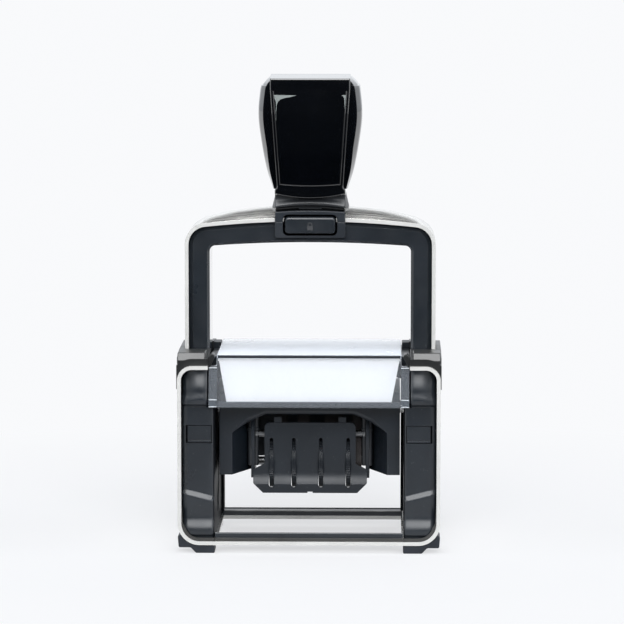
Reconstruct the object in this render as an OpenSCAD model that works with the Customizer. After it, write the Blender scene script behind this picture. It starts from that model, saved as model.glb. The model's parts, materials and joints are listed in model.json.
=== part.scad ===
// Self-inking date stamp: a sprung handle slides down in the base and turns the die unit over on its way.
// Front faces -Y, +Z is up, and the origin is at the middle of the footprint, on the table.

/* [Base] */
// Outer width of the bent steel strip
base_w = 89.2; // [86:0.2:94]
// Depth of the base from front to back
base_d = 62; // [60:0.5:70]
// Height of the steel strip from its underside to its folded lips
base_h = 61.3; // [60:0.1:64]
// Thickness of the steel strip
strip_t = 1.3; // [1:0.1:1.6]
// Outer radius of the strip's lower corners
strip_low_r = 7.5; // [5:0.5:9]
// Outer radius of the strip's upper corners
strip_high_r = 5; // [4:0.5:7]
// Height of the feet under the strip
foot_h = 2.8; // [2:0.1:4]
// Length of one foot from front to back
foot_len = 9; // [6:0.5:12]
// Width of the bottom opening
open_w = 62.8; // [62.4:0.1:63.2]
// Depth of the bottom opening
open_d = 44; // [42:0.5:46]
// Height of the front and rear bars above the strip
bar_h = 3; // [2:0.1:4]
// Height of the collars above the strip's lips
collar_h = 3.6; // [2.5:0.1:5]
// Wall of the moulded post covers
cover_t = 2; // [1.4:0.1:2.4]

/* [Window] */
// Height of the window's lower edge above the table
window_z = 50; // [49:0.1:51]
// Height of the window's flat top above the table
window_top = 67.4; // [66.8:0.1:69]
// Outer width of the clear cover across its front
window_w = 68; // [67:0.2:68.4]
// Width of the clear cover's flat top
window_top_w = 62.6; // [60:0.2:63]
// Wall of the clear cover
window_t = 1.6; // [1.2:0.1:2]
// How far the top of the front face leans back
window_lean = 4; // [2:0.5:5]
// How far the flat top reaches behind the middle
window_back = 21; // [19:0.5:23]
// Thickness of the index card
card_t = 0.5; // [0.3:0.1:0.8]

/* [Handle] */
// Depth of the handle arch from front to back
handle_d = 22; // [20:0.5:24]
// Width of one black leg
leg_w = 7.2; // [6.8:0.1:7.6]
// Height of the arch's opening above the table at the middle
arch_z = 104.3; // [103:0.1:110]
// Height of the black arch above its opening
arch_h = 7.3; // [6:0.1:8]
// How much the arch drops from the middle to its corners
arch_drop = 2.6; // [1:0.1:4]
// Outer radius of the arch's corners
arch_r = 7.5; // [5:0.5:9]
// Radius of the upper corners of the arch's opening
arch_in_r = 2; // [0.5:0.1:3]
// Width of the lock housing
lock_w = 24; // [22:0.5:27]
// Width of the lock button
button_w = 17.4; // [15:0.1:19]
// Height of the lock button
button_h = 6; // [5:0.1:6.6]
// How far the lock button goes in
button_travel = 2; // [1:0.1:2.4]

/* [Knob] */
// Height of the knob above the lock housing
knob_h = 46.8; // [40:0.2:52]
// Width of the knob across its cheeks at the widest place
knob_w = 35.6; // [32:0.2:38]
// Width of the knob's flat top
knob_top_w = 26.4; // [24:0.2:28]
// Width of the knob's neck
neck_w = 23.4; // [21:0.2:24]
// Depth of the knob at its widest place
knob_d = 27; // [24:0.5:31]
// Depth of the knob's neck
neck_d = 19; // [16:0.5:21]
// Thickness of the gloss panels in the knob
panel_t = 1.2; // [0.8:0.1:1.6]

/* [Die unit] */
// Travel of the handle
travel = 34; // [31:0.5:34.5]
// Height of the printing face above the table at full press
face_low = 0.6; // [0.5:0.1:1.5]
// Distance from the turning axis to the printing face
face_h = 11.5; // [10.5:0.1:12]
// Width of the text plate
die_w = 56; // [50:0.5:57]
// Depth of the text plate
die_d = 33; // [28:0.5:33]
// Height of the raised print
relief = 1; // [0.6:0.1:1.2]
// Margin of the text plate around the raised print
die_margin = 2; // [1.5:0.1:3]
// Length of the arms from the turning axis down
arm_len = 21; // [19:0.5:22]
// Diameter of the trunnion pins
trunnion_d = 4; // [3:0.1:4.4]
// Diameter of the cam pins
cam_pin_d = 3; // [2.4:0.1:3.4]
// Distance of the cam pins from the turning axis
cam_r = 7; // [6:0.1:8]

/* [Date unit] */
// Diameter of the setting wheels
wheel_d = 18; // [16:0.2:18.6]
// Thickness of the setting wheels
wheel_t = 1.6; // [1.2:0.1:1.8]
// Number of ridges on a setting wheel
ridge_count = 44; // [30:1:56]
// Diameter of the wheels' axle
axle_d = 3; // [2:0.1:3.6]
// Distance from the turning axis down to the wheels' axle
wheel_drop = 18.3; // [17.5:0.1:19]
// Distance of the wheels' axle in front of the turning axis
wheel_front = 4; // [3.5:0.1:4.5]
// Thickness of the date bands
band_t = 1; // [0.8:0.1:1.2]
// Height of the band cover
cover_h = 24.3; // [23:0.1:25]
// Width of the band cover's upper plate
cover_w = 31.4; // [31:0.2:33]
// Width of the band cover's skirt
skirt_w = 39.2; // [37:0.2:39.6]
// Thickness of the band cover
plate_t = 1.2; // [1:0.1:1.4]

/* [Springs] */
// Outer diameter of the return springs
spring_d = 3.6; // [3:0.1:3.8]
// Wire of the return springs
spring_wire = 0.6; // [0.5:0.05:0.7]
// Turns of a return spring
spring_turns = 18; // [12:1:22]
// Depth of the spring bores in the legs
spring_bore = 20; // [15:1:30]

/* [Fits] */
// Gap between pieces that slide past each other
slide_gap = 0.3; // [0.2:0.05:0.35]
// Radial gap of a running pin in its hole
run_gap = 0.05; // [0.02:0.01:0.1]
// Gap between the printing face and the ink pad
pad_gap = 0.9; // [0.8:0.05:1.2]
// Gap between the turning die unit and the posts
swing_gap = 1.3; // [1:0.1:1.5]

/* [Hidden] */
$fn = 48;
eps = 0.01;

// Heights of the base
strip_z = foot_h;
floor_z = strip_z + strip_t;
lip_z = strip_z + base_h;
bar_top = floor_z + bar_h;
collar_top = lip_z + collar_h;

// Half widths, from the outside in
strip_in = base_w / 2 - strip_t;
band_out = strip_in - slide_gap;
leg_out = band_out - strip_t;
leg_in = leg_out - leg_w;
liner_t = 2;
liner_out = leg_in - slide_gap;
liner_in = liner_out - liner_t;
frame_out = liner_in - swing_gap;
front_y = -base_d / 2;
channel_y = handle_d / 2 + slide_gap;

// Turning axis at rest
axis_z = face_low + travel + face_h;
face_z = axis_z + face_h;
pad_z = face_z + pad_gap;

// Points of an arc from angle a to angle b
function arc(c, r, a, b, n = 8) = [for (i = [0 : n]) let (t = a + (b - a) * i / n) c + r * [cos(t), sin(t)]];

// Draws a shape given in X and Z from y0 back to y1
module from_front(y0, y1) {
  translate([0, y1, 0]) rotate([90, 0, 0]) linear_extrude(y1 - y0) children();
}

// Draws a shape given in Y and Z from x0 to x1
module from_side(x0, x1) {
  translate([x0, 0, 0]) rotate([90, 0, 90]) linear_extrude(x1 - x0) children();
}

// A pin along X
module pin_x(x0, x1, d) {
  translate([x0, 0, 0]) rotate([0, 90, 0]) cylinder(h = x1 - x0, d = d);
}

// A pin along Y
module pin_y(y0, y1, d) {
  translate([0, y1, 0]) rotate([90, 0, 0]) cylinder(h = y1 - y0, d = d);
}

// A box between two corners
module box(a, b) {
  translate(a) cube(b - a);
}

// A flat shape with round corners of one radius below and another above
module round_panel(w, z0, z1, low_r, high_r) {
  translate([-w / 2, z0 + low_r]) square([w, z1 - z0 - low_r - high_r]);
  translate([-w / 2 + low_r, z0]) square([w - 2 * low_r, low_r + eps]);
  translate([-w / 2 + high_r, z1 - high_r - eps]) square([w - 2 * high_r, high_r + eps]);
  for (s = [-1, 1]) {
    translate([s * (w / 2 - low_r), z0 + low_r]) circle(low_r);
    translate([s * (w / 2 - high_r), z1 - high_r]) circle(high_r);
  }
}

// A flat shape with upright sides, round upper corners and a bowed top
bow_steps = 24;
module bowed_panel(half, z0, top, bow_r, r) {
  side = half - r;
  bow_z = top - bow_r;
  corner_z = bow_z + sqrt(pow(bow_r - r, 2) - pow(side, 2));
  turn = acos(side / (bow_r - r));
  step = (180 - 2 * turn) / bow_steps;
  polygon(concat(
    [[-half, z0], [half, z0]],
    arc([side, corner_z], r, 0, turn),
    arc([0, bow_z], bow_r, turn + step, 180 - turn - step, bow_steps - 2),
    arc([-side, corner_z], r, 180 - turn, 180)));
}

// A rectangle with round corners about its middle
module round_rect(w, h, r) {
  round_panel(w, -h / 2, h / 2, r, r);
}

// Mirrors a right-hand piece to the left
module left_of() {
  mirror([1, 0, 0]) children();
}

// Outline of the strip's outside and of its inside, grown by g
module strip_outer(g = 0) {
  round_panel(base_w + 2 * g, strip_z - g, lip_z + g, strip_low_r + g, strip_high_r + g);
}

module strip_inner(g = 0) {
  r_low = strip_low_r - strip_t - g;
  r_high = strip_high_r - strip_t - g;
  round_panel(base_w - 2 * strip_t - 2 * g, floor_z + g, lip_z - strip_t - g, r_low, r_high);
}

module base_shell() {
  color("gainsboro") difference() {
    from_front(front_y, -front_y) difference() {
      strip_outer();
      strip_inner();
    }
    box([-liner_out, front_y - 1, lip_z - strip_t - 1], [liner_out, -front_y + 1, lip_z + 1]);
    box([-open_w / 2, -open_d / 2, strip_z - 1], [open_w / 2, open_d / 2, floor_z + 1]);
    for (m = [0, 1]) mirror([m, 0, 0]) {
      low = lip_z - strip_high_r;
      box([leg_in - slide_gap, -channel_y, low], [band_out + slide_gap, channel_y, lip_z + 1]);
    }
  }
}

// Front profile of a post cover: full at the shoulder and the foot, hollowed between them
cover_set = 0.5;
cover_swell = 2.2;
cover_front = front_y + cover_set;
cover_waist = cover_front + cover_swell;
cover_edge = 1;
cover_foot_z = floor_z + 8;
cover_flare_z = floor_z + 15;
cover_step_z = window_z - 1;
cover_lean = 0.9;
module cover_profile() {
  full = cover_front;
  waist = cover_waist;
  e = cover_edge;
  top = lip_z - strip_t;
  polygon(concat(
    [[-channel_y, floor_z]],
    arc([full + e, floor_z + e], e, 270, 180, 4),
    arc([full + 2 * e, cover_foot_z], 2 * e, 180, 150, 4),
    [[waist - cover_set / 2, cover_flare_z - 3 * e], [waist, cover_flare_z]],
    [[waist, cover_step_z - e], [full + cover_set, cover_step_z]],
    arc([full + 3 * e, cover_step_z + 4 * e], 3 * e, 190, 150, 4),
    [[full + cover_lean, top], [-channel_y, top]]
  ));
}

// Edge of the liners behind the covers, and the bay that the window stands in
liner_edge = cover_waist + cover_t + cover_set;
bay_gap = 0.2;
window_bay_x = max(window_w / 2, liner_out - bay_gap) + slide_gap;

// Front outline of a post: narrower beside the window
module post_outline(inset = 0) {
  difference() {
    intersection() {
      strip_inner(inset);
      translate([liner_in + inset, 0]) square([base_w, lip_z]);
    }
    translate([0, window_z - slide_gap - inset]) square([window_bay_x + inset, lip_z]);
  }
}

module post_cover(front_side) {
  color("#14161a") mirror([0, front_side ? 0 : 1, 0]) difference() {
    intersection() {
      from_front(front_y, -channel_y) post_outline();
      from_side(liner_in, strip_in) cover_profile();
    }
    from_front(cover_waist + cover_t, -channel_y + eps) post_outline(cover_t);
    if (front_side) tab_pocket();
    box([liner_in - eps, liner_edge, floor_z - 1], [liner_out, -channel_y + 1, window_z + 1]);
  }
}

// Small snap tab in the face of each front cover
tab_h = 5.6;
tab_w = 8;
tab_z = 40.5;
tab_t = 1.2;
tab_lip = 0.4;
tab_x = liner_in + cover_edge + tab_w / 2;
tab_face = cover_waist;
module tab_pocket() {
  translate([tab_x, tab_face + tab_t / 2, tab_z])
    cube([tab_w + 2 * run_gap, tab_t + eps, tab_h + 2 * run_gap], center = true);
}

module snap_tab() {
  color("#1b1d22") difference() {
    translate([tab_x, tab_face + tab_t / 2 - run_gap, tab_z])
      cube([tab_w, tab_t - 2 * run_gap, tab_h], center = true);
    translate([tab_x, tab_face, tab_z - tab_h / 2 + 2 * tab_lip])
      cube([tab_w + 1, tab_lip, tab_lip], center = true);
  }
}

// Path of the cam pin as the die unit turns, in Y and Z
function cam_at(s) = [cam_r * cos(180 * s), axis_z - travel * s - cam_r * sin(180 * s)];
cam_steps = 40;
cam_half = cam_pin_d / 2 + slide_gap;
function cam_side(s) = let (d = cam_at(s + 0.001) - cam_at(s - 0.001)) [-d[1], d[0]] / norm(d);
cam_left = [for (i = [0 : cam_steps]) cam_at(i / cam_steps) + cam_half * cam_side(i / cam_steps)];
cam_right = [for (i = [0 : cam_steps]) cam_at(i / cam_steps) - cam_half * cam_side(i / cam_steps)];
groove_depth = 1.2;

module cam_track() {
  polygon(concat(cam_left, [for (i = [cam_steps : -1 : 0]) cam_right[i]]));
  for (s = [0, 1]) translate(cam_at(s)) circle(cam_half);
}

module post_liner() {
  half = -liner_edge - slide_gap;
  slot = trunnion_d / 2 + slide_gap;
  color("#101216") difference() {
    box([liner_in, -half, floor_z], [liner_out, half, window_z - slide_gap]);
    box([liner_in - 1, -slot, axis_z - travel], [liner_out + 1, slot, axis_z]);
    for (z = [axis_z - travel, axis_z]) translate([0, 0, z]) pin_x(liner_in - 1, liner_out + 1, 2 * slot);
    from_side(liner_in - 1, liner_in + groove_depth) cam_track();
  }
}

// Collar over the strip's shoulder, with a square block round the leg
collar_skin = 2.3;
collar_side = 0.3;
collar_low = 8;
collar_slope = 12;
collar_wall = 2.6;
collar_back = 1.2;
module collar() {
  block_y = channel_y + collar_wall;
  x_in = liner_out;
  x_out = base_w / 2 + collar_side;
  skin_y = -front_y - collar_back;
  color("#2a2d31") difference() {
    union() {
      intersection() {
        from_front(-skin_y, skin_y) strip_outer(collar_skin);
        box([x_in, -skin_y, lip_z - collar_low], [x_out, skin_y, collar_top]);
      }
      from_side(x_in, x_out) polygon([
        [-block_y - collar_slope, lip_z - eps], [-block_y - collar_slope, lip_z + collar_skin],
        [-block_y, collar_top], [block_y, collar_top],
        [block_y + collar_slope, lip_z + collar_skin], [block_y + collar_slope, lip_z - eps]]);
      box([base_w / 2 - strip_high_r, -block_y, lip_z - collar_low], [x_out, block_y, collar_top]);
    }
    from_front(front_y, -front_y) strip_outer();
    box([x_in - 1, -channel_y, lip_z - collar_low - 1], [band_out + slide_gap, channel_y, collar_top + 1]);
    box([x_in - 1, front_y, lip_z - 1], [window_bay_x, -channel_y, collar_top + 1]);
  }
}

bar_set = 0.4;
module bar_piece(y0, y1) {
  chamfer = bar_h / 5;
  half = liner_in - slide_gap;
  color("#15171b") from_side(-half, half) polygon([
    [y0, floor_z], [y1, floor_z], [y1, bar_top - chamfer], [y1 - chamfer, bar_top],
    [y0 + chamfer, bar_top], [y0, bar_top - chamfer]]);
}

module front_bar() {
  bar_piece(front_y + bar_set, -open_d / 2);
}

module rear_bar() {
  bar_piece(open_d / 2, -front_y - bar_set);
}

foot_set = 0.3;
foot_flat = 6.4;
foot_cut = 1.8;
foot_wrap = 3;
module foot() {
  x = liner_in - bay_gap;
  y = front_y + foot_set;
  edge = base_w / 2;
  from_front(y, y + foot_len) difference() {
    polygon([
      [x, strip_z], [x, 0], [x + foot_flat, 0], [x + foot_flat + foot_cut, strip_z - foot_cut / 2],
      [edge - foot_set, strip_z - foot_cut / 2], [edge, strip_z + foot_wrap],
      [edge - strip_low_r, strip_z + strip_low_r]]);
    strip_outer();
  }
}

module feet() {
  color("#26282d") for (sx = [0, 1], sy = [0, 1]) mirror([sx, 0, 0]) mirror([0, sy, 0]) foot();
}

// Frame round the ink cartridge, seated on the post liners
housing_wall = 2.8;
housing_in = liner_out - housing_wall;
ledge = 1.4;
ledge_t = 1.2;
tray_gap = slide_gap;
pad_proud = 0.5;
tray_low = pad_z + pad_proud;
roof_t = 0.9;
card_gap = 0.1;
roof_top = window_top - window_t - card_t - 2 * card_gap;
tray_top = roof_top - roof_t - tray_gap;
housing_front = -channel_y + 2 * slide_gap;
housing_over = 2.4;
housing_back = window_back + housing_over;
module pad_housing() {
  color("#0e0f12") union() {
    for (m = [0, 1]) mirror([m, 0, 0]) {
      box([housing_in, housing_front, window_z - slide_gap], [liner_out, housing_back, roof_top]);
      box([housing_in - ledge, housing_front, tray_low - ledge_t - tray_gap],
        [housing_in + eps, housing_back, tray_low - tray_gap]);
    }
    box([-liner_out, housing_front, tray_top + tray_gap], [liner_out, housing_back, roof_top]);
  }
}

// Front face of the clear cover, in Y and Z, moved inwards by g
win_y0 = front_y;
win_y1 = front_y + window_lean;
module window_profile(g) {
  polygon([
    [win_y0 + g, window_z], [win_y1 + g, window_top - g], [window_back, window_top - g],
    [window_back, window_z]]);
}

module window_cover() {
  color("lightsteelblue", 0.4) union() {
    intersection() {
      from_side(-window_w / 2, window_w / 2) difference() {
        window_profile(0);
        window_profile(window_t);
      }
      from_front(front_y, front_y + window_lean + window_t) polygon([
        [-window_w / 2, window_z], [window_w / 2, window_z], [window_w / 2, lip_z],
        [window_top_w / 2, window_top], [-window_top_w / 2, window_top], [-window_w / 2, lip_z]]);
    }
    box([-window_top_w / 2, win_y1, window_top - window_t], [window_top_w / 2, window_back, window_top]);
  }
}

card_taper = 3;
card_half = window_top_w / 2 - slide_gap;
card_low_half = card_half - card_taper;
card_low = window_z + window_t;
module index_card() {
  g = window_t + card_gap;
  color("white") union() {
    intersection() {
      from_side(-window_w / 2, window_w / 2) difference() {
        window_profile(g);
        window_profile(g + card_t);
      }
      from_front(front_y, win_y1 + 2 * window_t + card_t) polygon([
        [-card_low_half, card_low], [card_low_half, card_low],
        [card_half, window_top], [-card_half, window_top]]);
    }
    box([-card_half, win_y1 + g, window_top - g - card_t], [card_half, window_back, window_top - g]);
  }
}

// A coil as one unbroken tube round the Z axis, from z0 to z1
function coil_point(r, turns, z0, z1, t) =
  [r * cos(360 * turns * t), r * sin(360 * turns * t), z0 + (z1 - z0) * t];
module coil(d, wire, turns, z0, z1) {
  rings = 8 * turns;
  sides = 6;
  r = (d - wire) / 2;
  points = [for (i = [0 : rings], k = [0 : sides - 1]) let (
      t = i / rings,
      a = 360 * turns * t,
      b = 360 * k / sides,
      c = coil_point(r, turns, z0 + wire / 2, z1 - wire / 2, t)
    ) c + wire / 2 * [cos(a) * cos(b), sin(a) * cos(b), sin(b)]];
  walls = [for (i = [0 : rings - 1], k = [0 : sides - 1], h = [0, 1]) let (
      a = i * sides + k,
      b = i * sides + (k + 1) % sides
    ) h == 0 ? [a, a + sides, b + sides] : [a, b + sides, b]];
  ends = concat(
    [for (k = [1 : sides - 2]) [0, k, k + 1]],
    [for (k = [1 : sides - 2]) [rings * sides, rings * sides + k + 1, rings * sides + k]]);
  echo(str("coil gap ", (z1 - z0 - wire) / turns - wire));
  polyhedron(points, concat(walls, ends));
}

spring_hole = spring_d + 2 * slide_gap;
spring_wall = 0.8;
spring_x = leg_out - spring_wall - spring_hole / 2;
leg_toe = 1.6;
leg_end = axis_z - trunnion_d / 2 - leg_toe;
seat_h = 1.6;
seat_rim = 0.5;
seat_peg = 2.5;
module return_spring() {
  color("silver") translate([spring_x, 0, 0])
    coil(spring_d, spring_wire, spring_turns, floor_z + seat_h, leg_end + spring_bore - slide_gap);
}

module spring_seats() {
  color("#15171b") for (m = [0, 1]) mirror([m, 0, 0]) intersection() {
    from_front(-spring_d, spring_d) strip_inner();
    translate([spring_x, 0, floor_z]) union() {
      cylinder(h = seat_h, d = spring_d + 2 * seat_rim);
      cylinder(h = seat_h + seat_peg, d = spring_d - 2 * spring_wire - slide_gap);
    }
  }
}

// Ink cartridge: a tray with its pad facing down
tray_w = 2 * (housing_in - tray_gap);
tray_front = -20;
tray_wall = 1.4;
tray_over = 0.4;
pad_over = 1;
pad_w = die_w + 2 * pad_over;
pad_d = die_d + 2 * pad_over;
grip_h = 4;
grip_w = 24;
grip_t = 1.6;
module ink_tray() {
  back = housing_back + tray_over;
  x = pad_w / 2 + run_gap;
  y = pad_d / 2 + run_gap;
  color("#17191d") difference() {
    union() {
      box([-tray_w / 2, tray_front, tray_low], [tray_w / 2, back, tray_top]);
      box([-grip_w / 2, back - eps, tray_low], [grip_w / 2, back + grip_t, tray_low + grip_h]);
    }
    box([-x, -y, tray_low - 1], [x, y, tray_top - tray_wall]);
  }
}

module ink_pad() {
  color("#2a2140") box([-pad_w / 2, -pad_d / 2, pad_z], [pad_w / 2, pad_d / 2, tray_top - tray_wall]);
}

// Outline of the arch, moved inwards by g
arch_top = arch_z + arch_h;
module arch_outer(g) {
  bow_r = (pow(leg_out, 2) + pow(arch_drop, 2)) / (2 * arch_drop);
  bowed_panel(leg_out - g, leg_end - 10, arch_top - g, bow_r - g, arch_r - strip_t - g);
}

module handle_band() {
  color("whitesmoke") difference() {
    from_front(-handle_d / 2, handle_d / 2) difference() {
      intersection() {
        arch_outer(-strip_t);
        translate([-base_w, leg_end]) square([2 * base_w, arch_top]);
      }
      arch_outer(0);
    }
    button_pocket();
    screw_holes();
  }
}

frame_set = 0.8;
trunnion_end = leg_in + leg_toe;
module handle_frame() {
  color("#101216") difference() {
    from_front(-handle_d / 2 + frame_set, handle_d / 2 - frame_set) difference() {
      intersection() {
        arch_outer(0);
        translate([-base_w, leg_end]) square([2 * base_w, arch_top]);
      }
      arch_gap();
    }
    for (m = [0, 1]) mirror([m, 0, 0]) {
      translate([spring_x, 0, leg_end - 1]) cylinder(h = spring_bore + 1, d = spring_hole);
      translate([0, 0, axis_z]) pin_x(leg_in - 1, trunnion_end + run_gap, trunnion_d + 2 * run_gap);
    }
    lock_notch();
    screw_holes();
  }
}

// Opening of the arch, in X and Z
module arch_gap() {
  bow_r = (pow(leg_in, 2) + pow(arch_drop / 2, 2)) / arch_drop;
  bowed_panel(leg_in, 0, arch_z, bow_r, arch_in_r);
}

// The lock housing sits over the middle of the arch and carries the knob
lock_rise = 1.7;
lock_over = 1.8;
lock_proud = 1;
lock_low = arch_z + lock_rise;
lock_high = arch_top + strip_t + lock_over;
lock_front = -handle_d / 2 - lock_proud;
lock_back = handle_d / 2 + lock_proud;
button_z = (lock_low + lock_high) / 2;
button_depth = 5;
button_r = 1.5;
button_stem = 6;
stem_d = 3;
module lock_notch() {
  box([-lock_w / 2 - eps, -handle_d, lock_low], [lock_w / 2 + eps, handle_d, arch_top + arch_h]);
}

// Room for the button and its stem behind the front of the lock housing
module button_pocket() {
  back = lock_front + button_depth + button_travel + slide_gap;
  translate([0, 0, button_z]) {
    from_front(lock_front - 1, back)
      round_rect(button_w + 2 * slide_gap, button_h + 2 * slide_gap, button_r + slide_gap);
    pin_y(lock_front, back + button_stem + slide_gap, stem_d + 2 * run_gap);
  }
}

module lock_housing() {
  color("#1d1f24") difference() {
    box([-lock_w / 2, lock_front, lock_low], [lock_w / 2, lock_back, lock_high]);
    from_front(-handle_d / 2 - run_gap, handle_d / 2 + run_gap) difference() {
      arch_outer(-strip_t - run_gap);
      arch_outer(run_gap);
    }
    button_pocket();
    screw_holes();
  }
}

module lock_button() {
  color("#0c0d10") translate([0, 0, button_z]) union() {
    from_front(lock_front, lock_front + button_depth) round_rect(button_w, button_h, button_r);
    pin_y(lock_front + 1, lock_front + button_depth + button_stem, stem_d);
  }
}

// Knob: a middle slab with gloss panels front and back, between two cheeks
knob_z = lock_high;
knob_top = knob_z + knob_h;
knob_crown = 15;
knob_wide_z = knob_top - knob_crown;
wide_h = 8;
neck_h = 6.5;
neck_flare = 1;
lip_rise = 3;
lip_h = knob_z + neck_h + lip_rise;
lip_set = 2.2;
face_set = 0.5;
shoulder_r = 4;
shoulder_set = 1;
module knob_side() {
  n = neck_d / 2;
  w = knob_d / 2;
  swell_z = (lip_h + knob_wide_z) / 2;
  polygon(concat(
    [[-n - neck_flare, knob_z], [-n, knob_z + neck_h / 2], [-n, knob_z + neck_h], [-w + lip_set, lip_h],
      [-w + face_set, swell_z], [-w, knob_wide_z - wide_h / 2], [-w, knob_wide_z + wide_h / 2]],
    arc([-w + shoulder_r + shoulder_set, knob_top - shoulder_r], shoulder_r, 165, 90, 6),
    arc([w - shoulder_r - shoulder_set, knob_top - shoulder_r], shoulder_r, 90, 15, 6),
    [[w, knob_wide_z + wide_h / 2], [w, knob_wide_z - wide_h / 2], [w - face_set, swell_z],
      [w - lip_set, lip_h], [n, knob_z + neck_h], [n, knob_z + neck_h / 2], [n + neck_flare, knob_z]]));
}

// Half width of the middle slab at height z
function slab_half(z) = neck_w / 2 + (knob_top_w - neck_w) / 2 * (z - knob_z) / knob_h;
module slab_front() {
  polygon([
    [-slab_half(knob_z), knob_z], [slab_half(knob_z), knob_z],
    [slab_half(knob_top), knob_top], [-slab_half(knob_top), knob_top]]);
}

// Front outline of a cheek, from the slab out to the widest place
cheek_edge = 0.6;
cheek_set = 1.2;
cheek_low = knob_z + neck_h + lip_rise / 2;
cheek_top = knob_top - cheek_edge;
cheek_shoulder = knob_top - shoulder_r * 0.75;
module cheek_front() {
  w = knob_w / 2;
  low = slab_half(cheek_low);
  top = slab_half(cheek_top);
  polygon([
    [low, cheek_low], [low + cheek_edge, cheek_low], [w - cheek_set, knob_wide_z - wide_h], [w, knob_wide_z],
    [w, knob_wide_z + wide_h / 4], [w - cheek_set, cheek_shoulder], [top + cheek_edge, cheek_top],
    [top, cheek_top]]);
}

// Outline of the gloss panels
panel_rim = 1;
panel_band = 5.6;
panel_low = lip_h + panel_rim / 2;
panel_high = knob_top - panel_band;
module panel_front(g) {
  low = slab_half(panel_low) - panel_rim + g;
  high = slab_half(panel_high) - panel_rim + g;
  polygon([[-low, panel_low - g], [low, panel_low - g], [high, panel_high + g], [-high, panel_high + g]]);
}

module knob_body() {
  color("#0b0c0e") difference() {
    intersection() {
      from_front(-knob_d, knob_d) slab_front();
      from_side(-knob_w, knob_w) knob_side();
    }
    for (m = [0, 1]) mirror([0, m, 0]) panel_solid(run_gap);
    screw_holes();
  }
}

// A gloss panel that follows the knob's face
module panel_solid(g) {
  difference() {
    intersection() {
      from_front(-knob_d, 0) panel_front(g);
      from_side(-knob_w, knob_w) knob_side();
    }
    from_side(-knob_w, knob_w) translate([panel_t + g, 0]) knob_side();
  }
}

module knob_cheek() {
  color("#131519") intersection() {
    from_front(-knob_d, knob_d) cheek_front();
    from_side(0, knob_w) intersection() {
      knob_side();
      translate([-knob_d / 2 + panel_t, 0]) square([knob_d - 2 * panel_t, knob_top]);
    }
  }
}

module label_panel() {
  color("black") panel_solid(0);
}

module rear_panel() {
  color("black") mirror([0, 1, 0]) panel_solid(0);
}

// Two screws hold the knob and the lock housing on the arch, with their heads sunk in its underside
screw_d = 3;
screw_head_d = 5.4;
screw_head_h = 1.2;
screw_grip = 10;
screw_x = 7;
screw_y = 5;
screw_low = arch_z + slide_gap;
module screw_shape(g, sink) {
  for (s = [-1, 1]) translate([s * screw_x, screw_y, screw_low]) {
    cylinder(h = knob_z - screw_low + screw_grip + g, d = screw_d + 2 * g);
    translate([0, 0, -sink]) cylinder(h = screw_head_h + sink + g, d = screw_head_d + 2 * g);
  }
}

module screw_holes() {
  screw_shape(run_gap, arch_h);
}

module knob_screws() {
  color("silver") screw_shape(0, 0);
}

// Die frame: an arched front, a closed back, two arms and the plate that carries the die
frame_d = 37;
frame_wall = 1.5;
rubber_t = 1.4;
die_plate_t = 1.4;
plate_z = face_h - relief - rubber_t - die_plate_t;
skirt_gap = 0.8;
arm_lip = 4.4;
arm_flat = 4.8;
arm_in = skirt_w / 2 + skirt_gap;
arm_crease = frame_out - arm_lip;
deck_t = 2;
date_open = 14;
trunnion_in = frame_out - 5;
module arm_plan() {
  y = frame_d / 2;
  polygon([
    [frame_out, -y], [arm_crease, -y], [arm_in, -arm_flat],
    [arm_in, arm_flat], [arm_crease, y], [frame_out, y]]);
}

// The arched front of the frame, and how far the back stops short of the arms
back_rise = 1.2;
frame_drop = 6.5;
haunch = 2.6;
crown_half = 15;
crown = 0.2;
module frame_face() {
  for (m = [0, 1]) mirror([m, 0]) polygon([
    [-eps, plate_z], [-eps, -crown], [crown_half, -crown], [arm_in, -haunch], [arm_crease, -frame_drop],
    [frame_out, -frame_drop], [frame_out, plate_z]]);
}

module die_frame() {
  color("#1a1d24") translate([0, 0, axis_z]) difference() {
    union() {
      for (m = [0, 1]) mirror([m, 0, 0])
        translate([0, 0, -arm_len]) linear_extrude(arm_len + plate_z) arm_plan();
      box([-frame_out, -frame_d / 2, plate_z - deck_t], [frame_out, frame_d / 2, plate_z]);
      from_front(-frame_d / 2, -frame_d / 2 + frame_wall) frame_face();
      box([-frame_out, frame_d / 2 - frame_wall, back_rise - arm_len], [frame_out, frame_d / 2, plate_z]);
    }
    box([-arm_in, -date_open / 2, plate_z - deck_t - 1], [arm_in, date_open / 2, plate_z + 1]);
    for (m = [0, 1]) mirror([m, 0, 0]) {
      pin_x(trunnion_in, frame_out + 1, trunnion_d + 2 * run_gap);
      translate([0, cam_r, 0]) pin_x(trunnion_in, frame_out + 1, cam_pin_d + 2 * run_gap);
    }
  }
}

module trunnion() {
  color("silver") translate([0, 0, axis_z]) pin_x(trunnion_in, trunnion_end, trunnion_d);
}

module cam_pin() {
  color("silver") translate([0, cam_r, axis_z])
    pin_x(trunnion_in, liner_in + groove_depth - slide_gap, cam_pin_d);
}

// Gap in the die for the date
date_w = 2 * (arm_in + slide_gap);
date_gap_d = 7.6;
module die_plate() {
  z = axis_z + plate_z;
  color("#1f2126") difference() {
    box([-die_w / 2, -die_d / 2, z], [die_w / 2, die_d / 2, z + die_plate_t]);
    box([-date_w / 2, -date_gap_d / 2, z - 1], [date_w / 2, date_gap_d / 2, z + die_plate_t + 1]);
  }
}

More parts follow.
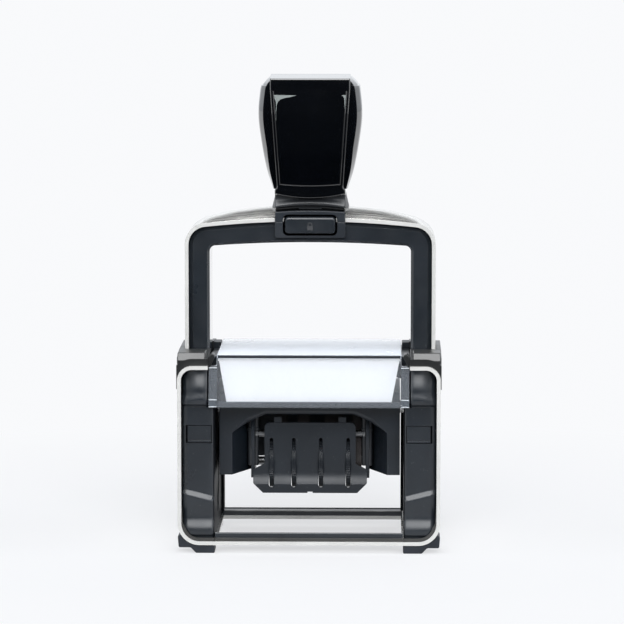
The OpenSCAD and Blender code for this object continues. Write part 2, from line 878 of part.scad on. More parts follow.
// Raised print: a plain border and bars in place of lines of words
border = 1.2;
row_in = 6;
row_first = 2.6;
row_h = 2.4;
row_step = 3.8;
module text_plate() {
  z = axis_z + plate_z + die_plate_t;
  top = z + rubber_t + relief;
  x = die_w / 2 - die_margin;
  y = die_d / 2 - die_margin;
  color("firebrick") difference() {
    union() {
      box([-die_w / 2, -die_d / 2, z], [die_w / 2, die_d / 2, z + rubber_t]);
      for (m = [0, 1]) mirror([0, m, 0]) {
        box([-x, -y, z], [x, -y + border, top]);
        for (row = [0, 1]) {
          row_y = -y + row_first + row * row_step;
          box([-x + row_in, row_y, z], [x - row_in, row_y + row_h, top]);
        }
      }
      for (m = [0, 1]) mirror([m, 0, 0]) box([x - border, -y, z], [x, y, top]);
    }
    box([-date_w / 2, -date_gap_d / 2, z - 1], [date_w / 2, date_gap_d / 2, top + 1]);
  }
}

// Date unit: wheels on one axle turn the bands, which run over the bridge at the printing face
hub_r = 4;
nose_r = 1.8;
hub_c = [-wheel_front, -wheel_drop];
nose_c = [0, face_h - relief - band_t - nose_r];
side_plate_t = 1.3;
side_x = arm_in - side_plate_t;

// A belt round two circles, r0 about a and r1 about b
module belt_outline(a, r0, b, r1) {
  d = b - a;
  span = norm(d);
  u = d / span;
  n = [-u[1], u[0]];
  k = (r0 - r1) / span;
  h = sqrt(1 - k * k);
  up = n * h + u * k;
  down = -n * h + u * k;
  translate(a) circle(r0);
  translate(b) circle(r1);
  polygon([a + r0 * up, b + r1 * up, b + r1 * down, a + r0 * down]);
}

plate_rim = 1.2;
bridge_d = 2 * nose_r - 0.4;
rod_d = 2.4;
ring_t = 1;
cover_y = -11.6;
rod_c = [cover_y + plate_t + rod_d / 2 + plate_rim / 2, -8];
rod_land = 3;
side_half = date_open / 2 - 0.5;
side_tail = 4;
module date_side_plates() {
  front = rod_c[0] - rod_d / 2 - plate_rim;
  low = hub_c[1] - axle_d / 2 - 3 * plate_rim;
  color("#23262c") translate([0, 0, axis_z]) for (m = [0, 1]) mirror([m, 0, 0]) difference() {
    from_side(side_x, arm_in) polygon([
      [front + plate_rim, low], [side_tail, low], [side_half, rod_c[1]], [side_half, plate_z],
      [-side_half, plate_z], [-side_half, plate_z - 2 * deck_t],
      [front, rod_c[1] + rod_land], [front, rod_c[1] - rod_land],
      [front + plate_rim, rod_c[1] - 2 * rod_land]]);
    translate([0, hub_c[0], hub_c[1]]) pin_x(side_x - 1, arm_in + 1, axle_d + 2 * run_gap);
    translate([0, nose_c[0], nose_c[1]]) pin_x(side_x - 1, arm_in + 1, bridge_d + 2 * run_gap);
    translate([0, rod_c[0], rod_c[1]]) pin_x(side_x - 1, arm_in + 1, rod_d + 2 * run_gap);
  }
}

// The rods of the date unit stop just inside the arms
rod_half = arm_in - 2 * run_gap;
module wheel_axle() {
  color("silver") translate([0, hub_c[0], axis_z + hub_c[1]]) pin_x(-rod_half, rod_half, axle_d);
}

module band_bridge() {
  color("silver") translate([0, nose_c[0], axis_z + nose_c[1]]) pin_x(-rod_half, rod_half, bridge_d);
}

module tie_rod() {
  color("silver") translate([0, rod_c[0], axis_z + rod_c[1]]) union() {
    pin_x(-rod_half, rod_half, rod_d);
    for (m = [0, 1]) mirror([m, 0, 0]) pin_x(side_x - ring_t - run_gap, side_x - run_gap, rod_d + ring_t);
  }
}

// Where each wheel stands, and the band beside it
wheel_x = [-13.3, -5.6, 3.7, 13.1];
band_w = [4.2, 4.2, 6.6, 3.4];
band_gap = 0.35;
type_rim = 0.5;
type_half = 1.6;
function band_x(i) = wheel_x[i] + wheel_t / 2 + band_gap;
module date_band(i) {
  x = band_x(i);
  h_in = hub_r + 2 * run_gap;
  n_in = nose_r + run_gap;
  color("#a83a34") translate([0, 0, axis_z]) union() {
    from_side(x, x + band_w[i]) difference() {
      belt_outline(hub_c, h_in + band_t, nose_c, n_in + band_t - run_gap);
      belt_outline(hub_c, h_in, nose_c, n_in);
    }
    box([x + type_rim, -type_half, nose_c[1] + nose_r + band_t / 2],
      [x + band_w[i] - type_rim, type_half, face_h]);
  }
}

ridge_h = 0.4;
ridge_w = 0.6;
module setting_wheel(i) {
  x0 = wheel_x[i] - wheel_t / 2;
  x1 = band_x(i) + band_w[i] - 4 * run_gap;
  color("#1c1e22") translate([0, hub_c[0], axis_z + hub_c[1]]) difference() {
    union() {
      pin_x(x0, x0 + wheel_t, wheel_d - 2 * ridge_h);
      for (k = [0 : ridge_count - 1]) rotate([360 * k / ridge_count, 0, 0])
        box([x0, -ridge_w / 2, wheel_d / 2 - 3 * ridge_h], [x0 + wheel_t, ridge_w / 2, wheel_d / 2]);
      pin_x(x0, x1, 2 * hub_r - 4 * run_gap);
    }
    pin_x(x0 - 1, x1 + 1, axle_d + 2 * run_gap);
  }
}

// Band cover: a plate with one slot for each wheel and a skirt that flares forward
cover_drop = 3.9;
cover_low = -cover_drop - cover_h;
skirt_h = 8.6;
skirt_top = cover_low + skirt_h;
cover_ease = 1;
flare = 1.6;
flare_h = 4;
flare_z = cover_low + flare_h;
cover_r = 1.8;
skirt_cut = 3.4;
skirt_cut_h = 3;
slot_w = wheel_t + 2 * slide_gap;
slot_rim = 1.4;
slot_len = 17.1;
slot_low = cover_low + slot_rim;
clip_rise = 2.6;
clip_len = 5.6;
clip_low = cover_low + clip_rise;
clip_back = cover_y + clip_len;
module cover_half() {
  w = skirt_w / 2;
  polygon(concat(
    [[-eps, cover_low], [w - skirt_cut, cover_low], [w, cover_low + skirt_cut_h]],
    arc([w - cover_ease, skirt_top - cover_ease], cover_ease, 0, 90, 4),
    arc([cover_w / 2 + cover_r, skirt_top + cover_r], cover_r, 270, 180, 5),
    arc([cover_w / 2 - cover_r, -cover_drop - cover_r], cover_r, 0, 90, 5),
    [[-eps, -cover_drop]]));
}

module cover_face() {
  for (m = [0, 1]) mirror([m, 0]) cover_half();
}

module cover_bend() {
  bend = plate_t / 5;
  y = cover_y;
  bend_z = skirt_top - cover_ease;
  polygon([
    [y, 0], [y, bend_z], [y - flare, flare_z], [y - flare, cover_low], [y - flare + plate_t, cover_low],
    [y - flare + plate_t, flare_z + bend], [y + plate_t, bend_z + bend], [y + plate_t, 0]]);
}

module band_cover() {
  clip_x = side_x - run_gap;
  color("#20242b") translate([0, 0, axis_z]) difference() {
    union() {
      intersection() {
        from_front(cover_y - 2 * flare, cover_y + 2 * flare) cover_face();
        from_side(-skirt_w, skirt_w) cover_bend();
      }
      for (m = [0, 1]) mirror([m, 0, 0])
        box([clip_x - plate_t, cover_y, clip_low], [clip_x, clip_back, skirt_top - cover_ease]);
    }
    for (x = wheel_x) translate([x, 0, slot_low + slot_len / 2])
      from_front(cover_y - 3 * flare, cover_y + 3 * flare) round_rect(slot_w, slot_len, slot_w / 2 - eps);
  }
}

base_shell();
left_of() post_cover(true);  // post_cover_front_left
post_cover(true);  // post_cover_front_right
left_of() post_cover(false);  // post_cover_rear_left
post_cover(false);  // post_cover_rear_right
left_of() post_liner();  // post_liner_left
post_liner();  // post_liner_right
left_of() snap_tab();  // snap_tab_left
snap_tab();  // snap_tab_right
left_of() collar();  // collar_left
collar();  // collar_right
front_bar();
rear_bar();
feet();
pad_housing();
window_cover();
index_card();
left_of() return_spring();  // spring_left
return_spring();  // spring_right
spring_seats();
ink_tray();
ink_pad();
handle_band();
handle_frame();
lock_housing();
lock_button();
knob_body();
left_of() knob_cheek();  // knob_cheek_left
knob_cheek();  // knob_cheek_right
label_panel();
rear_panel();
knob_screws();
die_frame();
left_of() trunnion();  // trunnion_left
trunnion();  // trunnion_right
left_of() cam_pin();  // cam_pin_left
cam_pin();  // cam_pin_right
die_plate();
text_plate();
date_side_plates();
band_cover();
band_bridge();
wheel_axle();
tie_rod();
date_band(0);  // day_tens_band
date_band(1);  // day_units_band
date_band(2);  // month_band
date_band(3);  // year_band
setting_wheel(0);  // day_tens_wheel
setting_wheel(1);  // day_units_wheel
setting_wheel(2);  // month_wheel
setting_wheel(3);  // year_wheel
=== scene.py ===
import bmesh
import bpy
import json
import math
from mathutils import Matrix, Vector


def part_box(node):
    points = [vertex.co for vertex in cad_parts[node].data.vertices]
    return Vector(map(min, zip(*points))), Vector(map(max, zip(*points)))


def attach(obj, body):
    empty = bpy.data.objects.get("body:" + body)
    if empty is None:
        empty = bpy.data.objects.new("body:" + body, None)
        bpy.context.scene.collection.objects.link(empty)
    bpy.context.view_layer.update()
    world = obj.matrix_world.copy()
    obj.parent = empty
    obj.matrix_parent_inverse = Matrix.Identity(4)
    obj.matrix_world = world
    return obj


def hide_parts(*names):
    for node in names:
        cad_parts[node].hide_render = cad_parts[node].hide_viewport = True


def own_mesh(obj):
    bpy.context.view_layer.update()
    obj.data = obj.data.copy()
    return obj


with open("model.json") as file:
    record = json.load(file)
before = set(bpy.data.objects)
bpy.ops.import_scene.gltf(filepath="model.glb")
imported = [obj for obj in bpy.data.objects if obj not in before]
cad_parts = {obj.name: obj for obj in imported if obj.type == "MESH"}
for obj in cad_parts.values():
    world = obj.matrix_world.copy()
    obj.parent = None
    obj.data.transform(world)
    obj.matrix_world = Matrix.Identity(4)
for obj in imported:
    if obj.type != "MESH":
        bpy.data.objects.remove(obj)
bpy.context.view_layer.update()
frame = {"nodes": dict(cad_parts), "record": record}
mm = 0.001
bodies = frame["record"]["behaviour"]["bodies"]
bodyOf = {node: body for body, nodes in bodies.items() for node in nodes}
sides = (("left", -1), ("right", 1))


def span(node):  # corners of a node in millimetres
    low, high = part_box(node)
    return low / mm, high / mm


class settings(dict):  # one for each piece; a value is read by its name
    __getattr__ = dict.__getitem__


# nodes, for finishes, the studio and geometry nodes alike

def fill(tree, node, links):  # (socket, output or value) pairs
    for socket, source in links:
        if hasattr(source, "links"):
            tree.links.new(source, node.inputs[socket])
        else:
            node.inputs[socket].default_value = source
    return node


def addNode(tree, kind, links=(), **values):
    node = tree.nodes.new(kind if kind.startswith("Shader") else "GeometryNode" + kind)
    for key, value in values.items():
        setattr(node, key, value)
    return fill(tree, node, links)


def maths(tree, operation, first, second):
    return addNode(tree, "ShaderNodeMath", ((0, first), (1, second)), operation=operation).outputs[0]


def objectPlace(tree, scale=(1, 1, 1)):  # object coordinates, stretched where a grain has a direction
    coords = addNode(tree, "ShaderNodeTexCoord")
    mapping = addNode(tree, "ShaderNodeMapping", (("Vector", coords.outputs["Object"]), ("Scale", scale)))
    return mapping.outputs["Vector"]


def noise(tree, place, scale, detail=3.0):
    links = (("Vector", place), ("Scale", scale), ("Detail", detail))
    return addNode(tree, "ShaderNodeTexNoise", links).outputs["Fac"]


def spread(tree, value, low, high, fromLow=0.3, fromHigh=0.7):  # moves a value from one range into another
    links = (("Value", value), ("From Min", fromLow), ("From Max", fromHigh),
             ("To Min", low), ("To Max", high))
    return addNode(tree, "ShaderNodeMapRange", links).outputs["Result"]


def mixColour(tree, share, *colours):
    first, second = (c if hasattr(c, "links") else (*c, 1) for c in colours)
    links = (("Factor", share), (6, first), (7, second))
    return addNode(tree, "ShaderNodeMix", links, data_type="RGBA").outputs[2]


def relief(tree, shader, *heights):  # one bump after another: (height, depth in mm, strength)
    last = None
    for height, depth, strength in heights:
        links = [("Height", height), ("Distance", depth * mm), ("Strength", strength)]
        links += [("Normal", last)] if last else []
        last = addNode(tree, "ShaderNodeBump", links).outputs["Normal"]
    tree.links.new(last, shader.inputs["Normal"])


def shade(colour, factor):
    return tuple(c * factor for c in colour)


def clearedTree(owner):
    owner.use_nodes = True
    owner.node_tree.nodes.clear()
    return owner.node_tree


# finishes: the numbers are grains across a metre

def startFinish(name, slot):
    finish = bpy.data.materials.new(name)
    finish["slot"] = slot
    tree = clearedTree(finish)
    shader = addNode(tree, "ShaderNodeBsdfPrincipled")
    addNode(tree, "ShaderNodeOutputMaterial", (("Surface", shader.outputs["BSDF"]),))
    return finish, tree, shader


moulded = settings(cloud=70, patch=130, dust=1500, spark=3200, wave=90, dustGrey=(0.3, 0.31, 0.32))


def mouldedFinish(name, slot, colour, rough, grain, coat=0.0, dust=0.12, shine=0.5):
    s = moulded  # a cloudy tone, dust, and a spark-eroded grain
    finish, tree, shader = startFinish(name, slot)
    place = objectPlace(tree)
    cloud = spread(tree, noise(tree, place, s.cloud), 0, 1)
    body = mixColour(tree, cloud, shade(colour, 0.85), shade(colour, 1.2))
    specks = spread(tree, noise(tree, place, s.dust, 1), 0, dust, 0.73, 0.8)
    patches = spread(tree, noise(tree, place, s.patch), rough - 0.05, rough + 0.06)
    fill(tree, shader, (("Base Color", mixColour(tree, specks, body, s.dustGrey)), ("Roughness", patches),
                        ("Specular IOR Level", shine), ("Coat Weight", coat), ("Coat Roughness", 0.05)))
    relief(tree, shader, (noise(tree, place, s.spark, 2), 0.03, grain),
           (noise(tree, place, s.wave), 0.06, grain / 2))
    return finish


def steelFinish(name, slot, colour, rough, across, metal=1.0, brushed=0.1):
    finish, tree, shader = startFinish(name, slot)  # brushed lines along the strip, flecks on its cut edge
    lines = noise(tree, objectPlace(tree, across), 1, 4)
    flecks = noise(tree, objectPlace(tree), 2400, 2)
    cloud = spread(tree, noise(tree, objectPlace(tree), 55), 0, 1)
    body = mixColour(tree, cloud, shade(colour, 0.93), shade(colour, 1.03))
    worn = mixColour(tree, spread(tree, flecks, 0, 0.35, 0.62, 0.75), body, shade(colour, 0.62))
    fill(tree, shader, (("Base Color", worn), ("Roughness", spread(tree, lines, rough - 0.06, rough + 0.1)),
                        ("Metallic", metal)))
    relief(tree, shader, (lines, 0.02, brushed), (flecks, 0.015, 0.18))
    return finish


def rubberFinish(name, slot, colour, rough, grain):
    finish, tree, shader = startFinish(name, slot)
    place = objectPlace(tree)
    cloud = spread(tree, noise(tree, place, 160, 4), 0, 1)
    patches = spread(tree, noise(tree, place, 900), rough - 0.08, rough + 0.08)
    fill(tree, shader, (("Base Color", mixColour(tree, cloud, shade(colour, 0.75), shade(colour, 1.25))),
                        ("Roughness", patches), ("Specular IOR Level", 0.35)))
    relief(tree, shader, (noise(tree, place, 2600, 3), 0.05, grain))
    return finish


def clearFinish(name, slot, tint, thin, thick):  # see-through sheet: clear face on, glossy at a slant
    finish, tree, shader = startFinish(name, slot)
    place = objectPlace(tree)
    edge = addNode(tree, "ShaderNodeLayerWeight", (("Blend", 0.3),)).outputs["Fresnel"]
    cloud = spread(tree, noise(tree, place, 60), 0, 1)
    fill(tree, shader, (("Base Color", mixColour(tree, cloud, shade(tint, 0.94), tint)),
                        ("Alpha", spread(tree, edge, thin, thick, 0.03, 0.8)),
                        ("Roughness", spread(tree, noise(tree, place, 240), 0.03, 0.09)), ("IOR", 1.49)))
    relief(tree, shader, (noise(tree, place, 45), 0.05, 0.025))
    return finish


def cardFinish(name, slot, low, high):  # smooth card with faint fibres
    finish, tree, shader = startFinish(name, slot)
    place = objectPlace(tree, (1, 1, 0.35))
    fibres = noise(tree, place, 1800, 4)
    fill(tree, shader, (("Base Color", mixColour(tree, spread(tree, fibres, 0, 1), low, high)),
                        ("Roughness", spread(tree, noise(tree, place, 300), 0.55, 0.75))))
    relief(tree, shader, (fibres, 0.01, 0.2))
    return finish


def feltFinish(name, slot, low, high):  # soaked felt: short tangled hairs, darker where the ink stands
    finish, tree, shader = startFinish(name, slot)
    hairs = noise(tree, objectPlace(tree, (1, 0.4, 1)), 1600, 6)
    pools = spread(tree, noise(tree, objectPlace(tree), 110), 0, 1)
    fill(tree, shader, (("Base Color", mixColour(tree, pools, low, high)),
                        ("Roughness", spread(tree, pools, 0.45, 0.9)), ("Sheen Weight", 0.3)))
    relief(tree, shader, (hairs, 0.12, 0.6))
    return finish


blackMoulded = mouldedFinish("blackMoulded", "black_plastic", (0.0105, 0.0138, 0.0182), 0.32, 0.2)
# a darker, matte black for walls inside recesses: painted shade
recessShadeBlack = mouldedFinish("recessShadeBlack", "black_plastic", (0.005, 0.006, 0.008), 0.5, 0.2, shine=0.06)
collarBlack = mouldedFinish("collarBlack", "black_plastic", (0.009, 0.01, 0.0106), 0.34, 0.1, coat=0.1)
rimGrey = mouldedFinish("rimGrey", "black_plastic", (0.03, 0.03, 0.029), 0.4, 0.25)
glossBlack = mouldedFinish("glossBlack", "gloss_black", (0.001, 0.0014, 0.0022), 0.08, 0.015,
                           coat=0.9, dust=0.03)
greyMoulded = mouldedFinish("greyMoulded", "grey_plastic", (0.0135, 0.0155, 0.0185), 0.44, 0.4)
housingGrey = mouldedFinish("housingGrey", "grey_plastic", (0.0125, 0.016, 0.021), 0.38, 0.3)
signGrey = mouldedFinish("signGrey", "black_plastic", (0.03, 0.032, 0.036), 0.5, 0.1)
# light grey for the painted reflections on the label's top corners
reflectionGrey = mouldedFinish("reflectionGrey", "gloss_black", (0.2, 0.225, 0.22), 0.35, 0.05, coat=0.6)
dieMoulded = mouldedFinish("dieMoulded", "dark_plastic", (0.0075, 0.0112, 0.0165), 0.42, 0.28)
polishedSteel = steelFinish("polishedSteel", "polished_steel", (0.85, 0.84, 0.81), 0.24, (40, 5200, 40),
                            brushed=0.02)
cutSteel = steelFinish("cutSteel", "polished_steel", (0.57, 0.57, 0.555), 0.5, (400, 5200, 400), metal=0.3)
pinSteel = steelFinish("pinSteel", "pin_steel", (0.7, 0.71, 0.72), 0.2, (3000, 60, 60))
darkSteel = steelFinish("darkSteel", "pin_steel", (0.2, 0.205, 0.21), 0.36, (3000, 60, 60))
springWire = steelFinish("springWire", "spring_steel", (0.55, 0.56, 0.57), 0.24, (900, 900, 900))
footRubber = rubberFinish("footRubber", "foot_rubber", (0.0105, 0.0135, 0.019), 0.5, 0.35)
printRubber = rubberFinish("printRubber", "print_rubber", (0.36, 0.045, 0.035), 0.6, 0.3)
bandRubber = rubberFinish("bandRubber", "band_rubber", (0.02, 0.017, 0.017), 0.58, 0.3)
clearSheet = clearFinish("clearSheet", "clear_plastic", (0.8, 0.85, 0.92), 0.05, 0.95)
clearEdge = clearFinish("clearEdge", "clear_plastic", (0.1, 0.115, 0.135), 0.6, 0.95)
clearDark = clearFinish("clearDark", "clear_plastic", (0.012, 0.015, 0.02), 0.95, 1)
# a pale, nearly opaque clear finish for painted highlights
glintClear = clearFinish("glintClear", "clear_plastic", (0.62, 0.66, 0.7), 0.8, 1)
whiteCard = cardFinish("whiteCard", "card", (0.77, 0.78, 0.795), (0.82, 0.826, 0.836))
soakedFelt = feltFinish("soakedFelt", "ink_felt", (0.012, 0.013, 0.05), (0.03, 0.032, 0.1))
print("finishes made:", len(bpy.data.materials))


# mesh helpers

def linked(name, mesh):
    piece = bpy.data.objects.new(name, mesh)
    bpy.context.collection.objects.link(piece)
    return piece


def meshPiece(name, points, faces):  # points in millimetres
    mesh = bpy.data.meshes.new(name)
    mesh.from_pydata([Vector(p) * mm for p in points], [], faces)
    return linked(name, mesh)


def reworked(piece, work):  # runs bmesh work on a piece's mesh
    mesh = bmesh.new()
    mesh.from_mesh(piece.data)
    work(mesh)
    mesh.to_mesh(piece.data)
    mesh.free()
    return piece


def merged(mesh):
    bmesh.ops.remove_doubles(mesh, verts=mesh.verts, dist=0.002 * mm)


def outwards(piece):
    def work(mesh):
        merged(mesh)
        bmesh.ops.recalc_face_normals(mesh, faces=mesh.faces)
    return reworked(piece, work)


def sliced(mesh, place, across):  # new edges where a plane crosses a mesh, place in mm
    parts = mesh.verts[:] + mesh.edges[:] + mesh.faces[:]
    bmesh.ops.bisect_plane(mesh, geom=parts, plane_co=Vector(place) * mm, plane_no=across)


def joined(piece, *others):  # adds the meshes of other pieces to a piece
    def work(mesh):
        for other in others:
            mesh.from_mesh(other.data)
    reworked(piece, work)
    for other in others:
        bpy.data.objects.remove(other)
    return piece


def applied(piece):  # turns live modifiers into a plain mesh
    graph = bpy.context.evaluated_depsgraph_get()
    mesh = bpy.data.meshes.new_from_object(piece.evaluated_get(graph))
    piece.modifiers.clear()
    piece.data = mesh
    return piece


def modified(piece, kind, **values):
    modifier = piece.modifiers.new("step", kind)
    for key, value in values.items():
        setattr(modifier, key, value)
    return applied(piece)


def rounded(piece, width, segments, angle=25, chosen=None, clamp=True):
    if chosen:  # picks edges by their ends, in mm
        weights = piece.data.attributes.new("bevel_weight_edge", "FLOAT", "EDGE")
        for edge in piece.data.edges:
            a, b = (piece.data.vertices[i].co / mm for i in edge.vertices)
            weights.data[edge.index].value = 1.0 if chosen(a, b) else 0.0
    modified(piece, "BEVEL", width=width * mm, segments=segments, use_clamp_overlap=clamp,
             limit_method="WEIGHT" if chosen else "ANGLE", angle_limit=math.radians(angle))
    old = piece.data.attributes.get("bevel_weight_edge")
    if old:
        piece.data.attributes.remove(old)
    return piece


def alongY(a, b):
    return abs(a.x - b.x) < 0.01 and abs(a.z - b.z) < 0.01


def cutBy(piece, cutter):
    modified(piece, "BOOLEAN", object=cutter, solver="EXACT")
    bpy.data.objects.remove(cutter)


def twoFinishes(piece, first, second, chosen):  # the chosen faces take the second finish
    for finish in (first, second):
        piece.data.materials.append(finish)
    for face in piece.data.polygons:
        face.material_index = 1 if chosen(face) else 0


def placed(piece, angle, finish, body, *nodes):  # shade, finish (which carries its slot) and body of a done piece
    if angle:  # smooth, with flat faces kept flat and edges past the angle sharp
        piece.data.shade_smooth()
        piece.data.set_sharp_from_angle(angle=math.radians(angle))
        modified(piece, "WEIGHTED_NORMAL", keep_sharp=True)
    if not piece.data.materials:
        piece.data.materials.append(finish)
    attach(piece, body)
    if nodes:
        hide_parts(*nodes)


def cadCopy(node, name):  # a node's solid as clean faces
    piece = linked(name, frame["nodes"][node].data.copy())
    piece.data.materials.clear()

    def work(mesh):
        merged(mesh)
        bmesh.ops.dissolve_limit(mesh, angle_limit=math.radians(0.6), verts=mesh.verts, edges=mesh.edges)
    reworked(piece, work)
    old = piece.data.attributes.get("custom_normal")
    if old:
        piece.data.attributes.remove(old)
    return piece


def mirrored(points, signX=1, signY=1):
    return [(x * signX, y * signY, z) for x, y, z in points]


def ringFaces(rings, size, closed=True):  # quads between rings of equal size, capped where they close
    faces = []
    for r in range(rings - 1):
        for k in range(size if closed else size - 1):
            a, b = r * size + k, r * size + (k + 1) % size
            faces.append((a, b, b + size, a + size))
    if closed:
        faces += [tuple(range(size)), tuple(range((rings - 1) * size, rings * size))]
    return faces


def ringPiece(name, points, size, signX=1, signY=1):  # rings of points, capped at both ends
    return outwards(meshPiece(name, mirrored(points, signX, signY), ringFaces(len(points) // size, size)))


def prism(name, axis, ends, outline, signX=1, signY=1):  # an outline drawn out along X or Y
    points = [(end, a, b) if axis == "X" else (a, end, b) for end in ends for a, b in outline]
    return ringPiece(name, points, len(outline), signX, signY)


def sheetPiece(name, points, size, layers, signX=1, signY=1):  # rows of points, closed by rings behind
    count = len(points) // size
    faces = ringFaces(count, size, closed=False)
    border = list(range(size)) + [r * size + size - 1 for r in range(1, count)]
    border += [(count - 1) * size + k for k in range(size - 2, -1, -1)]
    border += [r * size for r in range(count - 2, 0, -1)]
    last = border
    for layer in layers:
        ring = list(range(len(points), len(points) + len(border)))
        points += [layer(*points[i]) for i in border]
        faces += [(last[k - 1], last[k], ring[k], ring[k - 1]) for k in range(len(ring))]
        last = ring
    return outwards(meshPiece(name, mirrored(points, signX, signY), faces + [tuple(last)]))


def boxPiece(name, low, high, signX=1):
    xs = sorted((low[0] * signX, high[0] * signX))
    points = [(x, y, z) for z in (low[2], high[2]) for y in (low[1], high[1]) for x in xs]
    faces = [(0, 2, 3, 1), (4, 5, 7, 6), (0, 1, 5, 4), (2, 6, 7, 3), (0, 4, 6, 2), (1, 3, 7, 5)]
    return meshPiece(name, points, faces)


def between(keys, at):  # eases from key to key
    if at <= keys[0][0]:
        return keys[0][1]
    for (a, va), (b, vb) in zip(keys, keys[1:]):
        if at <= b:
            t = (at - a) / (b - a)
            return va + (vb - va) * t * t * (3 - 2 * t)
    return keys[-1][1]


def curveThrough(keys, at):  # a smooth curve through its keys
    if at <= keys[0][0] or at >= keys[-1][0]:
        return keys[0][1] if at <= keys[0][0] else keys[-1][1]
    i = next(k for k in range(len(keys) - 1) if at <= keys[k + 1][0])
    (a, va), (b, vb) = keys[i], keys[i + 1]
    before, after = keys[max(0, i - 1)], keys[min(len(keys) - 1, i + 2)]
    slopeA = (vb - before[1]) / (b - before[0])
    slopeB = (after[1] - va) / (after[0] - a)
    t, h = (at - a) / (b - a), b - a
    return ((2 * t ** 3 - 3 * t ** 2 + 1) * va + (t ** 3 - 2 * t ** 2 + t) * h * slopeA
            + (3 * t ** 2 - 2 * t ** 3) * vb + (t ** 3 - t ** 2) * h * slopeB)


def roundOff(distance, radius):  # how far a round edge falls back at a distance from its side
    if distance >= radius:
        return 0
    return radius - math.sqrt(max(0, radius ** 2 - (radius - distance) ** 2))


def arc(x, z, radius, start, turn, steps):
    angles = (math.radians(start + turn * k / steps) for k in range(steps + 1))
    return [(x + radius * math.cos(a), z + radius * math.sin(a)) for a in angles]


def roundRing(halfX, halfZ, corner, steps=5):  # a rectangle with round corners about the origin
    x, z = halfX - corner, halfZ - corner
    corners = ((x, z, 0), (-x, z, 90), (-x, -z, 180), (x, -z, 270))
    return [p for cx, cz, start in corners for p in arc(cx, cz, corner, start, 90, steps)]


def camel(node):
    first, *rest = node.split("_")
    return first + "".join(word.capitalize() for word in rest)


# post covers: crowned shoulder, step, flat panel, slanting crease and flared foot, inside the steel strip

strip = settings(wall=1.3, lowRound=6.2, highRound=3.7)
postCover = settings(
    lipDrop=11.3, lipEase=1.6, shoulder=((-0.4, -0.1), (1.0, -0.35), (4, 0.2)), topSet=2.2,
    ridge=36.8, crown=2.2, crownIn=0.3, crownOver=4, panelSet=2.2,
    creaseLow=14.3, creaseRise=0.25, creaseTall=1.9, creaseStep=1.2,
    flareTop=8.2, flareLow=3.6, flareSet=1.5, toe=1.5, toeSet=0.9, toeRise=0.9,
    outerRound=2.3, innerRound=1.2, tabGap=0.22, tabDepth=1.3, skin=0.15, bayGap=0.3,
    rowStep=0.3, nick=0.02, innerSteps=(0, 0.12, 0.35, 0.75), outerSteps=(1.3, 0.9, 0.5, 0.2, 0.05, 0),
    backSet=0.2, backGap=0.05,
)


shellLow, shellHigh = span("base_shell")


def stripEdge(z):  # inner side of the steel strip at height z
    low, high = z - shellLow.z - strip.wall, shellHigh.z - strip.wall - z
    return shellHigh.x - strip.wall - max(roundOff(low, strip.lowRound), roundOff(high, strip.highRound))


def makePostCover(name, node, signX, signY):
    s = postCover
    low, high = span("post_cover_front_right")
    tabLow, tabHigh = span("snap_tab_right")
    linerLow, linerHigh = span("post_liner_right")
    bayX, bayLow = span("window_cover")[1].x + s.bayGap, linerHigh.z
    floor, lip, gap, nick = low.z, high.z - s.lipDrop, s.tabGap, s.nick
    full, panel = low.y, low.y + s.panelSet

    def face(x, z):
        crease, tall = floor + s.creaseLow + (x - low.x) * s.creaseRise, s.creaseTall / 2
        keys = [(floor, full + s.toeSet), (floor + s.toe, full + s.toeSet),
                (floor + s.toe + s.toeRise, full), (floor + s.flareLow, full),
                (floor + s.flareTop, full + s.flareSet), (crease - tall, panel - s.creaseStep),
                (crease + tall, panel), (lip - s.lipEase, panel)]
        keys += [(lip + up, full + back) for up, back in s.shoulder] + [(high.z, full + s.topSet)]
        y = between(keys, z)
        if z > lip - s.lipEase:  # the shoulder bows round a ridge near its inner side
            reach = min(1, (z - lip + s.lipEase) / s.crownOver)
            outer, inner = max(0, x - s.ridge) / 6, max(0, s.ridge - x) / 3
            y += (s.crown * outer ** 2 + s.crownIn * inner ** 2) * reach
        inTab = tabLow.x - gap < x < tabHigh.x + gap and tabLow.z - gap < z < tabHigh.z + gap
        return y + (s.tabDepth if signY > 0 and inTab else 0)

    columns = [low.x + d for d in s.innerSteps] + [tabLow.x - gap - nick, tabLow.x - gap + nick]
    columns += [tabLow.x + (tabHigh.x - tabLow.x) * k / 7 for k in range(1, 7)]
    columns += [tabHigh.x + gap - nick, tabHigh.x + gap + nick] + [high.x - d for d in s.outerSteps]
    rows = [floor + s.rowStep * k for k in range(int((high.z - floor) / s.rowStep) + 1)]
    rows += [edge + d for edge in (tabLow.z - gap, tabHigh.z + gap, bayLow) for d in (-nick, nick)]
    rows = sorted(r for r in rows if r <= high.z) + [high.z]
    points = []
    for z in rows:
        inner, outer = low.x if z < bayLow else bayX, stripEdge(z) - s.skin
        for column in columns:
            x = inner + (outer - inner) * (column - low.x) / (high.x - low.x)
            y = face(x, z) + roundOff(outer - x, s.outerRound) + roundOff(x - inner, s.innerRound)
            points.append((x, y, z))
    back, behind = linerLow.y - s.backSet, linerHigh.x + s.backGap
    layers = (lambda x, y, z: (x, back, z), lambda x, y, z: (max(x, behind), back, z),
              lambda x, y, z: (max(x, behind), high.y, z))
    piece = sheetPiece(name, points, len(columns), layers, signX, signY)
    twoFinishes(piece, blackMoulded, recessShadeBlack, lambda f: f.normal.x * signX < -0.8)  # inner walls take a darker matte black: painted shade in the recess between the posts
    placed(piece, 50, blackMoulded, "base", node)


for label, signX in sides:
    makePostCover("postCoverFront." + label, "post_cover_front_" + label, signX, 1)
    makePostCover("postCoverRear." + label, "post_cover_rear_" + label, signX, -1)
print("post covers made")


# knob: a lofted middle with a matte neck, cheeks with slanting sides, and two gloss panels

